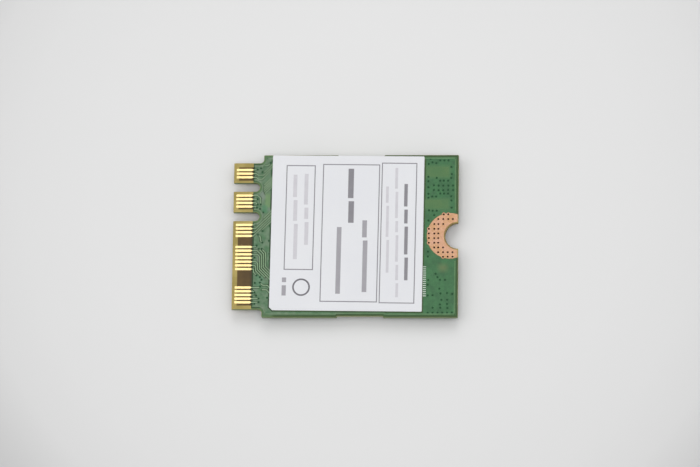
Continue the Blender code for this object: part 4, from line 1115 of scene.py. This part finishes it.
# %% Piece: covered vias
tree, given, made = geometry_tree(
    "via_plugs", {"Radius": FLOAT, "Depth": FLOAT, "Material": "NodeSocketMaterial"}
)
plug = {"Vertices": 12, "Radius": given.outputs["Radius"], "Depth": given.outputs["Depth"]}
plug = put(tree, "GeometryNodeMeshCylinder", plug).outputs["Mesh"]
end_tree(tree, given, made, instances(tree, given, plug).outputs[0])
via_plugs = tree
PLUG_DEPTH, RIM_HEIGHT = 0.01 * MM, 0.013 * MM


def cover_vias(side, centres):
    low, high = layer(side, 0.013 * MM, 0.011 * MM)
    points = [(x, y, (low + high) / 2) for x, y in centres]
    plug = {"Radius": VIA_RADIUS, "Depth": PLUG_DEPTH, "Material": mask_over_via}
    rim = {"Radius": VIA_RADIUS, "Wall": 2 * VIA_RING, "Height": RIM_HEIGHT, "Material": mask_over_copper}
    return [
        grow("covered_vias_" + side, via_plugs, points, [], plug),
        grow("via_rims_" + side, round_tubes, points, [], rim),
    ]


covered_vias = cover_vias("label_side", COVERED_VIAS) + cover_vias("shield_side", UNDER_VIAS)

# %% [markdown]
# **Ceramic capacitors.** Six of them stand outside the shield. A real one is a block of fired ceramic whose
# two ends are dipped in metal, so the ends are a hair thicker than the middle. Each is lofted along its
# length through rounded rectangles, as large as the solid that it stands for, and gets two materials.

# %% Piece: capacitors outside the shield
END_SHARE, EDGE_ROUND = 0.24, 0.04 * MM
CAPACITORS = [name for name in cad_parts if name.startswith(("bulk_", "coupling_", "matching_"))]


def lengthways(name):
    """Middle, length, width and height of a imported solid's box, and whether it lies along X."""
    low, high = (Vector(corner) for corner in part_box(name))
    size = high - low
    along_x = size.x > size.y
    return (low + high) / 2, max(size.x, size.y), min(size.x, size.y), size.z, along_x


def add_rod(bm, stations, middle, width, height, along_x, finish):
    """Rounded rectangles along a rod, each at its own place and moved in by its own step."""
    rings = []
    for place, step_in in stations:
        size = (width - 2 * step_in, height - 2 * step_in)
        outline = rectangle((0.0, 0.0), size, 0.0, EDGE_ROUND, 2)
        if along_x:
            rings.append([(middle.x + place, middle.y + y, middle.z + z) for y, z in outline])
        else:
            rings.append([(middle.x + x, middle.y + place, middle.z + z) for x, z in outline])
    add_loft(bm, rings, finish)


def capacitor(name):
    middle, length, width, height, along_x = lengthways(name)
    half, end = length / 2, length * END_SHARE
    bm = bmesh.new()
    body_half = half - 0.6 * end
    add_rod(bm, ((-body_half, 0.02 * MM), (body_half, 0.02 * MM)), middle, width, height, along_x, 0)
    for side in (1, -1):
        profile = ((half, 0.035), (half - 0.015 * MM, 0.01), (half - 0.045 * MM, 0.0))
        profile += ((half - end + 0.03 * MM, 0.0), (half - end, 0.012))
        stations = [(side * place, step_in * MM) for place, step_in in profile]
        add_rod(bm, stations, middle, width, height, along_x, 1)
    return new_piece(name + "_dipped", bm, dull["ceramic"], solder_tin, smooth_angle=math.radians(40))


capacitors = {name: capacitor(name) for name in CAPACITORS}
print("capacitors outside the shield:", sorted(capacitors))

# %% [markdown]
# **Pads and solder.** Every terminal stands on a tinned pad, a little larger than its foot, and the solder
# climbs it in a hollow curve. A fillet is one hollow profile drawn out across the width of its terminal.

# %% Piece: pads and solder fillets
def add_fillet(bm, foot, way, width, reach, height):
    """A hollow wedge of solder that climbs a wall at foot, and runs out along way."""
    way, aside = Vector(way), Vector((-way[1], way[0]))
    profile = ((-0.03, 0.0), (1.0, 0.0), (0.55, 0.16), (0.27, 0.42), (0.1, 0.75), (0.0, 1.0), (-0.03, 1.0))
    rings = []
    for share, narrow in ((-0.5, 0.86), (-0.42, 1.0), (0.42, 1.0), (0.5, 0.86)):
        ring = []
        for out, up in profile:
            spot = Vector(foot) + way * out * reach * narrow + aside * width * share
            ring.append((spot.x, spot.y, BOARD_LOW + 0.004 * MM - up * height * narrow))
        rings.append(ring)
    add_loft(bm, rings)


def add_pad(bm, x, y, size_x, size_y):
    outline = rectangle((x, y), (size_x, size_y), 0.0, 0.06 * MM, 2)
    add_prism(bm, outline, BOARD_LOW - 0.006 * MM, LAMINATE_LOW)


TAIL_X, LEG_REACH = 12.35, 1.18
PAST_SOLDER, BESIDE_TERMINAL = 0.03 * MM, 0.08 * MM
terminals = []
for name in CAPACITORS:
    middle, length, width, height, along_x = lengthways(name)
    for side in (1, -1):
        way = (side, 0) if along_x else (0, side)
        foot = (middle.x + way[0] * length / 2, middle.y + way[1] * length / 2)
        terminals.append((foot, way, width, 0.15 * MM, 0.6 * height, 0.2 * MM))
for y in RECEPTACLE_YS:
    terminals.append(((TAIL_X * MM, y * MM), (-1, 0), 0.3 * MM, 0.16 * MM, 0.09 * MM, 0.2 * MM))
    for side in (1, -1):
        foot = (RECEPTACLE_X * MM, (y + side * LEG_REACH) * MM)
        terminals.append((foot, (0, side), 0.6 * MM, 0.18 * MM, 0.09 * MM, 0.16 * MM))

solder_bm, pads_bm = bmesh.new(), bmesh.new()
for foot, way, width, reach, height, under in terminals:
    add_fillet(solder_bm, foot, way, 0.94 * width, reach, height)
    middle = Vector(foot) + Vector(way) * (reach + PAST_SOLDER - under) / 2
    long = reach + PAST_SOLDER + under
    wide = width + BESIDE_TERMINAL
    add_pad(pads_bm, middle.x, middle.y, *((long, wide) if way[0] else (wide, long)))

print("soldered terminals:", len(terminals))

# %% [markdown]
# The fence of the shield stands on a tinned line, and a bead of solder runs all the way round its foot. The
# bead is a loft that closes on itself, through four outlines, each at its own distance and height.

# %% Piece: bead round the fence
SHIELD_MIDDLE, SHIELD_FOOT = (0.05 * MM, 0.0), (18.92 * MM, 19.82 * MM)
BEAD_PROFILE = ((0.0, 0.004), (0.13, 0.004), (0.05, -0.03), (0.0, -0.11))
LINE_OUT, LINE_IN = 0.27 * MM, 0.2 * MM


def fence_outline(step_out):
    size = (SHIELD_FOOT[0] + 2 * step_out, SHIELD_FOOT[1] + 2 * step_out)
    return rectangle(SHIELD_MIDDLE, size, 0.0, 0.35 * MM + step_out, 6)


bead = [[(x, y, BOARD_LOW + z * MM) for x, y in fence_outline(out * MM)] for out, z in BEAD_PROFILE]
add_loft(solder_bm, bead, closed=True)
solder = new_piece("solder_fillets", solder_bm, solder_tin, smooth_angle=math.radians(50))
add_ring(pads_bm, fence_outline(LINE_OUT), fence_outline(-LINE_IN), BOARD_LOW - 0.005 * MM, LAMINATE_LOW)
pads = new_piece("soldered_pads", pads_bm, solder_tin)
print("solder:", len(solder.data.polygons), "faces, pads:", len(pads.data.polygons), "faces")

# %% [markdown]
# **Legend.** Board makers print white marks beside their parts. Next to the label's right edge one such row
# shows. Here it is a plain scale of short strokes, all alike, which says nothing.

# %% Piece: legend strokes
STROKES, STROKE_X, FIRST_STROKE_Y, STROKE_PITCH = 15, 10.56, -4.2, 0.28
STROKE_SIZE = (0.42 * MM, 0.11 * MM)
bm = bmesh.new()
for index in range(STROKES):
    centre = (STROKE_X * MM, (FIRST_STROKE_Y - STROKE_PITCH * index) * MM)
    add_prism(bm, rectangle(centre, STROKE_SIZE, 0.0, 0.02 * MM), BOARD_HIGH - RELIEF, BOARD_HIGH)
legend_strokes = new_piece("legend_strokes", bm, dull["legend_ink"])
print("legend strokes:", len(legend_strokes.data.polygons), "faces")

# %% [markdown]
# **Label.** The paper is 0.08 mm thick, stuck on slightly turned, with one corner clipped. Its print is
# generic: three ruled frames, rows of plain bars, and one plain ring. The paper is a prism with its edge
# softened by a Bevel modifier, and the print lies on it as ink a few thousandths of a millimetre thick.

# %% Piece: label paper and ruled frames
LABEL_CENTRE = (0.22 * MM, 0.355 * MM)
LABEL_SIZE = (20.25 * MM, 21.05 * MM)
LABEL_TURN = math.radians(-0.53)
PAPER_TOP, INK_TOP = 2.262 * MM, 2.2655 * MM
INK_LOW = PAPER_TOP - 0.002 * MM
PRINT_TURN = math.radians(-0.72)

half_x, half_y = LABEL_SIZE[0] / 2, LABEL_SIZE[1] / 2
radius, clip = 0.15 * MM, 0.42 * MM
outline = arc((half_x - radius, half_y - radius), radius, 0, 90, 5)
outline += arc((radius - half_x, half_y - radius), radius, 90, 180, 5)
outline += [(-half_x, clip - half_y), (clip - half_x, -half_y)]
outline += arc((half_x - radius, radius - half_y), radius, 270, 360, 5)
turn = Matrix.Rotation(LABEL_TURN, 2)
outline = [tuple(turn @ Vector(point) + Vector(LABEL_CENTRE)) for point in outline]
bm = bmesh.new()
add_prism(bm, outline, BOARD_HIGH, PAPER_TOP)
paper = new_piece("label_sheet", bm, label_paper)
bevel = paper.modifiers.new("soft edge", "BEVEL")
bevel.width = 0.012 * MM
bevel.segments = 2
settle(paper)

FRAME_LINE = 0.13
FRAMES = (((-6.1, 2.49), (3.9, 14.26)), ((0.62, 0.38), (7.62, 18.72)), ((7.02, 0.38), (4.72, 19.08)))
bm = bmesh.new()
for centre, size in FRAMES:
    centre = (centre[0] * MM, centre[1] * MM)
    outer = rectangle(centre, (size[0] * MM, size[1] * MM), PRINT_TURN)
    inner_size = [(length - 2 * FRAME_LINE) * MM for length in size]
    inner = rectangle(centre, inner_size, PRINT_TURN)
    add_ring(bm, outer, inner, INK_LOW, INK_TOP)
label_frames = new_piece("label_frames", bm, inks["ink_bold"])
print("label:", len(FRAMES), "ruled frames on", len(paper.data.polygons), "faces of paper")

# %% [markdown]
# The rows of bars follow a rule: they fill a line from one end to the other, in set proportions, with even
# gaps. The length of each bar travels with its point as an attribute, so the tree only has to set
# a scaled bar on each point.

# %% Piece: printed rows
tree, given, made = geometry_tree(
    "printed_bars", {"Bar height": FLOAT, "Thickness": FLOAT, "Material": "NodeSocketMaterial"}
)
size = {0: given.outputs["Bar height"], 1: MM, 2: given.outputs["Thickness"]}
size = put(tree, "ShaderNodeCombineXYZ", size).outputs[0]
bar = put(tree, "GeometryNodeMeshCube", {"Size": size}).outputs["Mesh"]
length = put(tree, "GeometryNodeInputNamedAttribute", {"Name": "length"}, data_type="FLOAT").outputs[0]
placed = instances(tree, given, bar)
placed.inputs["Rotation"].default_value = (0.0, 0.0, PRINT_TURN)
scale = put(tree, "ShaderNodeCombineXYZ", {0: 1.0, 1: length, 2: 1.0}).outputs[0]
tree.links.new(scale, placed.inputs["Scale"])
end_tree(tree, given, made, placed.outputs[0])
printed_bars = tree

ROWS = (
    ("first_frame_a", (-5.32, 8.44), (-5.17, -1.23), 0.52, (1.9, 0.7, 1.4), "ink_fine"),
    ("first_frame_b", (-6.79, 8.32), (-6.6, -3.18), 0.52, (1.4, 1.3, 2.2), "ink_fine"),
    ("second_frame_bold", (0.65, 9.12), (0.75, 1.75), 0.74, (2.6, 1.9), "ink_bold"),
    ("second_frame_a", (2.54, 2.09), (2.66, -7.63), 0.62, (1.0, 3.0), "ink_text"),
    ("second_frame_b", (-0.93, 1.17), (-0.81, -7.86), 0.62, (4.4,), "ink_text"),
    ("third_frame_bold", (8.0, 7.03), (8.13, -6.04), 0.46, (1.3, 0.8, 1.6, 1.3), "ink_bold"),
    ("third_frame_a", (6.74, 9.22), (6.93, -8.32), 0.36, (1.5, 1.9, 0.8, 1.9, 1.1, 1.0), "ink_fine"),
    ("third_frame_b", (5.53, 6.69), (5.66, -5.01), 0.36, (1.0, 1.9, 2.0), "ink_fine"),
    ("side_note", (-8.06, -5.66), (-8.09, -8.1), 0.56, (0.5, 1.1), "ink_text"),
)
WORD_SPACE = 0.42


def printed_row(name, start, end, height, words, ink):
    """Bars in proportion to the given word lengths, spaced evenly from the start of a line to its end."""
    run = Vector(end) - Vector(start)
    unit = (run.length - WORD_SPACE * (len(words) - 1)) / sum(words)
    way = run.normalized()
    points, lengths, gone = [], [], 0.0
    for word in words:
        middle = Vector(start) + way * (gone + word * unit / 2)
        points.append((middle.x * MM, middle.y * MM, INK_TOP - 0.001 * MM))
        lengths.append(word * unit)
        gone += word * unit + WORD_SPACE
    values = {"Bar height": height * MM, "Thickness": 0.002 * MM, "Material": inks[ink]}
    return grow("printed_row_" + name, printed_bars, points, [], values, lengths)


printed_rows = [printed_row(*row) for row in ROWS]
RING_CENTRE, RING_RADII = (-5.78 * MM, -6.97 * MM), (1.18 * MM, 0.96 * MM)
bm = bmesh.new()
outer, inner = [circle(RING_CENTRE, radius, 48) for radius in RING_RADII]
add_ring(bm, outer, inner, INK_LOW, INK_TOP)
plain_ring = new_piece("printed_ring", bm, inks["ink_ring"])
print("printed rows:", len(printed_rows), "and one plain ring")

# %% [markdown]
# **Finishes of the carried-over solids.** The shield, the antenna receptacles and the chips under the
# shield keep the shapes of the solid model. Each gets its finish by assigning the material to its slots.

# %% Finishes of the carried-over solids
FINISH_OF = (
    ("shield_", shield_tin),
    (("radio_chip", "memory_chip", "power_converter", "front_end_module"), dull["chip_moulding"]),
    ("power_inductor", dull["ferrite"]),
    (("crystal", "band_filter", "decoupling_capacitor"), dull["ceramic"]),
)
for name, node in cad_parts.items():
    chosen = next((finish for starts, finish in FINISH_OF if name.startswith(starts)), None)
    if name.startswith("receptacle"):
        chosen = dull["insulator"] if name.endswith("base") else contact_gold
    if chosen:
        node.data.materials.clear()
        node.data.materials.append(chosen)
kept = [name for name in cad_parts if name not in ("circuit_board", "label", *CAPACITORS)]
print("carried-over nodes with a finish:", len(kept))

# %% [markdown]
# **Riding and replacing.** Nothing on this card moves, so every piece rides on the one body. The board's
# pieces stand for its solid, and the paper and its print stand for the label's.

# %% Riding and replacing
board_pieces = [board_core, plated_holes, pads, legend_strokes] + sweeps + covered_vias + skins
for piece in board_pieces + contact_fingers + screw_pads:
    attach(piece, "root")
    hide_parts("circuit_board")
for name, piece in capacitors.items():
    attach(piece, "root")
    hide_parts(name)
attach(solder, "root")
for piece in [paper, label_frames, plain_ring] + printed_rows:
    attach(piece, "root")
    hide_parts("label")
print("pieces of the board:", len(board_pieces) + len(contact_fingers) + len(screw_pads))

# %% [markdown]
# ** Table.** The card lies on a plain pale surface. Painted shade darkens it a little towards the corners of the
# picture, standing for the falloff of light through this lens. It is a stage, not part of the object.

# %% Floor
floor_finish, tree, shader, place = new_finish("pale_floor")
values = {0: place, 1: (2.0 * MM, 8.0 * MM, 0.0)}
distance = put(tree, "ShaderNodeVectorMath", values, operation="DISTANCE").outputs["Value"]
ramp = put(tree, "ShaderNodeValToRGB")
# Painted shade: the floor's tone falls from pale near the card to grey farther out.
PAINTED_FALL_OFF = ((0.2, 227), (0.36, 225), (0.46, 222), (0.53, 217), (0.62, 196))
while len(ramp.color_ramp.elements) < len(PAINTED_FALL_OFF):
    ramp.color_ramp.elements.new(1.0)
for element, (reach, level) in zip(ramp.color_ramp.elements, PAINTED_FALL_OFF):
    element.position = reach
    element.color = paint(level, level, level)
tree.links.new(between(tree, distance, 0.0, 0.1), ramp.inputs[0])
tree.links.new(ramp.outputs[0], shader.inputs["Base Color"])
shader.inputs["Roughness"].default_value = 0.9
shader.inputs["Specular IOR Level"].default_value = 0.0
bm = bmesh.new()
bmesh.ops.create_grid(bm, x_segments=1, y_segments=1, size=3.0)
bmesh.ops.translate(bm, verts=bm.verts[:], vec=(0, 0, -0.01 * MM))
floor = new_piece("floor", bm, floor_finish)
print("floor tone from", PAINTED_FALL_OFF[0][1], "to", PAINTED_FALL_OFF[-1][1])

# %% [markdown]
# **Light.** Four soft windows of light stand round the card: beyond its upper edge, overhead, left and
# right. None stands where the camera would see it mirrored in the gold. An even sky fills the shadows, and
# what the camera sees of that sky, directly or mirrored, is nearly white.

# %% Light
world = bpy.data.worlds.new("sky")
bpy.context.scene.world = world
world.use_nodes = True
tree = world.node_tree
sky = tree.nodes["Background"]
sky.inputs["Color"].default_value = (1.0, 1.0, 1.0, 1.0)
rays = put(tree, "ShaderNodeLightPath").outputs
seen = calculate(tree, "MAXIMUM", rays["Is Camera Ray"], rays["Is Glossy Ray"])
seen = calculate(tree, "MAXIMUM", seen, rays["Is Transmission Ray"])
tree.links.new(between(tree, seen, 0.0, 1.0, 0.38, 0.9), sky.inputs["Strength"])

WINDOWS_OF_LIGHT = (
    ("back_window", (0.0, 0.6, 0.8), 1.36),
    ("top_window", (0.05, -0.17, 0.98), 1.72),
    ("left_window", (-0.56, 0.08, 0.82), 0.9),
    ("right_window", (0.55, 0.12, 0.82), 0.48),
)
WINDOW_SIZE, WINDOW_DISTANCE = 0.42, 0.75
for name, way, energy in WINDOWS_OF_LIGHT:
    light_data = bpy.data.lights.new(name, "AREA")
    light_data.shape = "SQUARE"
    light_data.size = WINDOW_SIZE
    light_data.energy = energy
    light = bpy.data.objects.new(name, light_data)
    bpy.context.scene.collection.objects.link(light)
    way = Vector(way).normalized()
    light.location = way * WINDOW_DISTANCE
    light.rotation_euler = way.to_track_quat("Z", "Y").to_euler()
    print(name, "stands", round(math.degrees(math.asin(way.z))), "degrees above the table")
bpy.context.scene.view_settings.view_transform = "Standard"
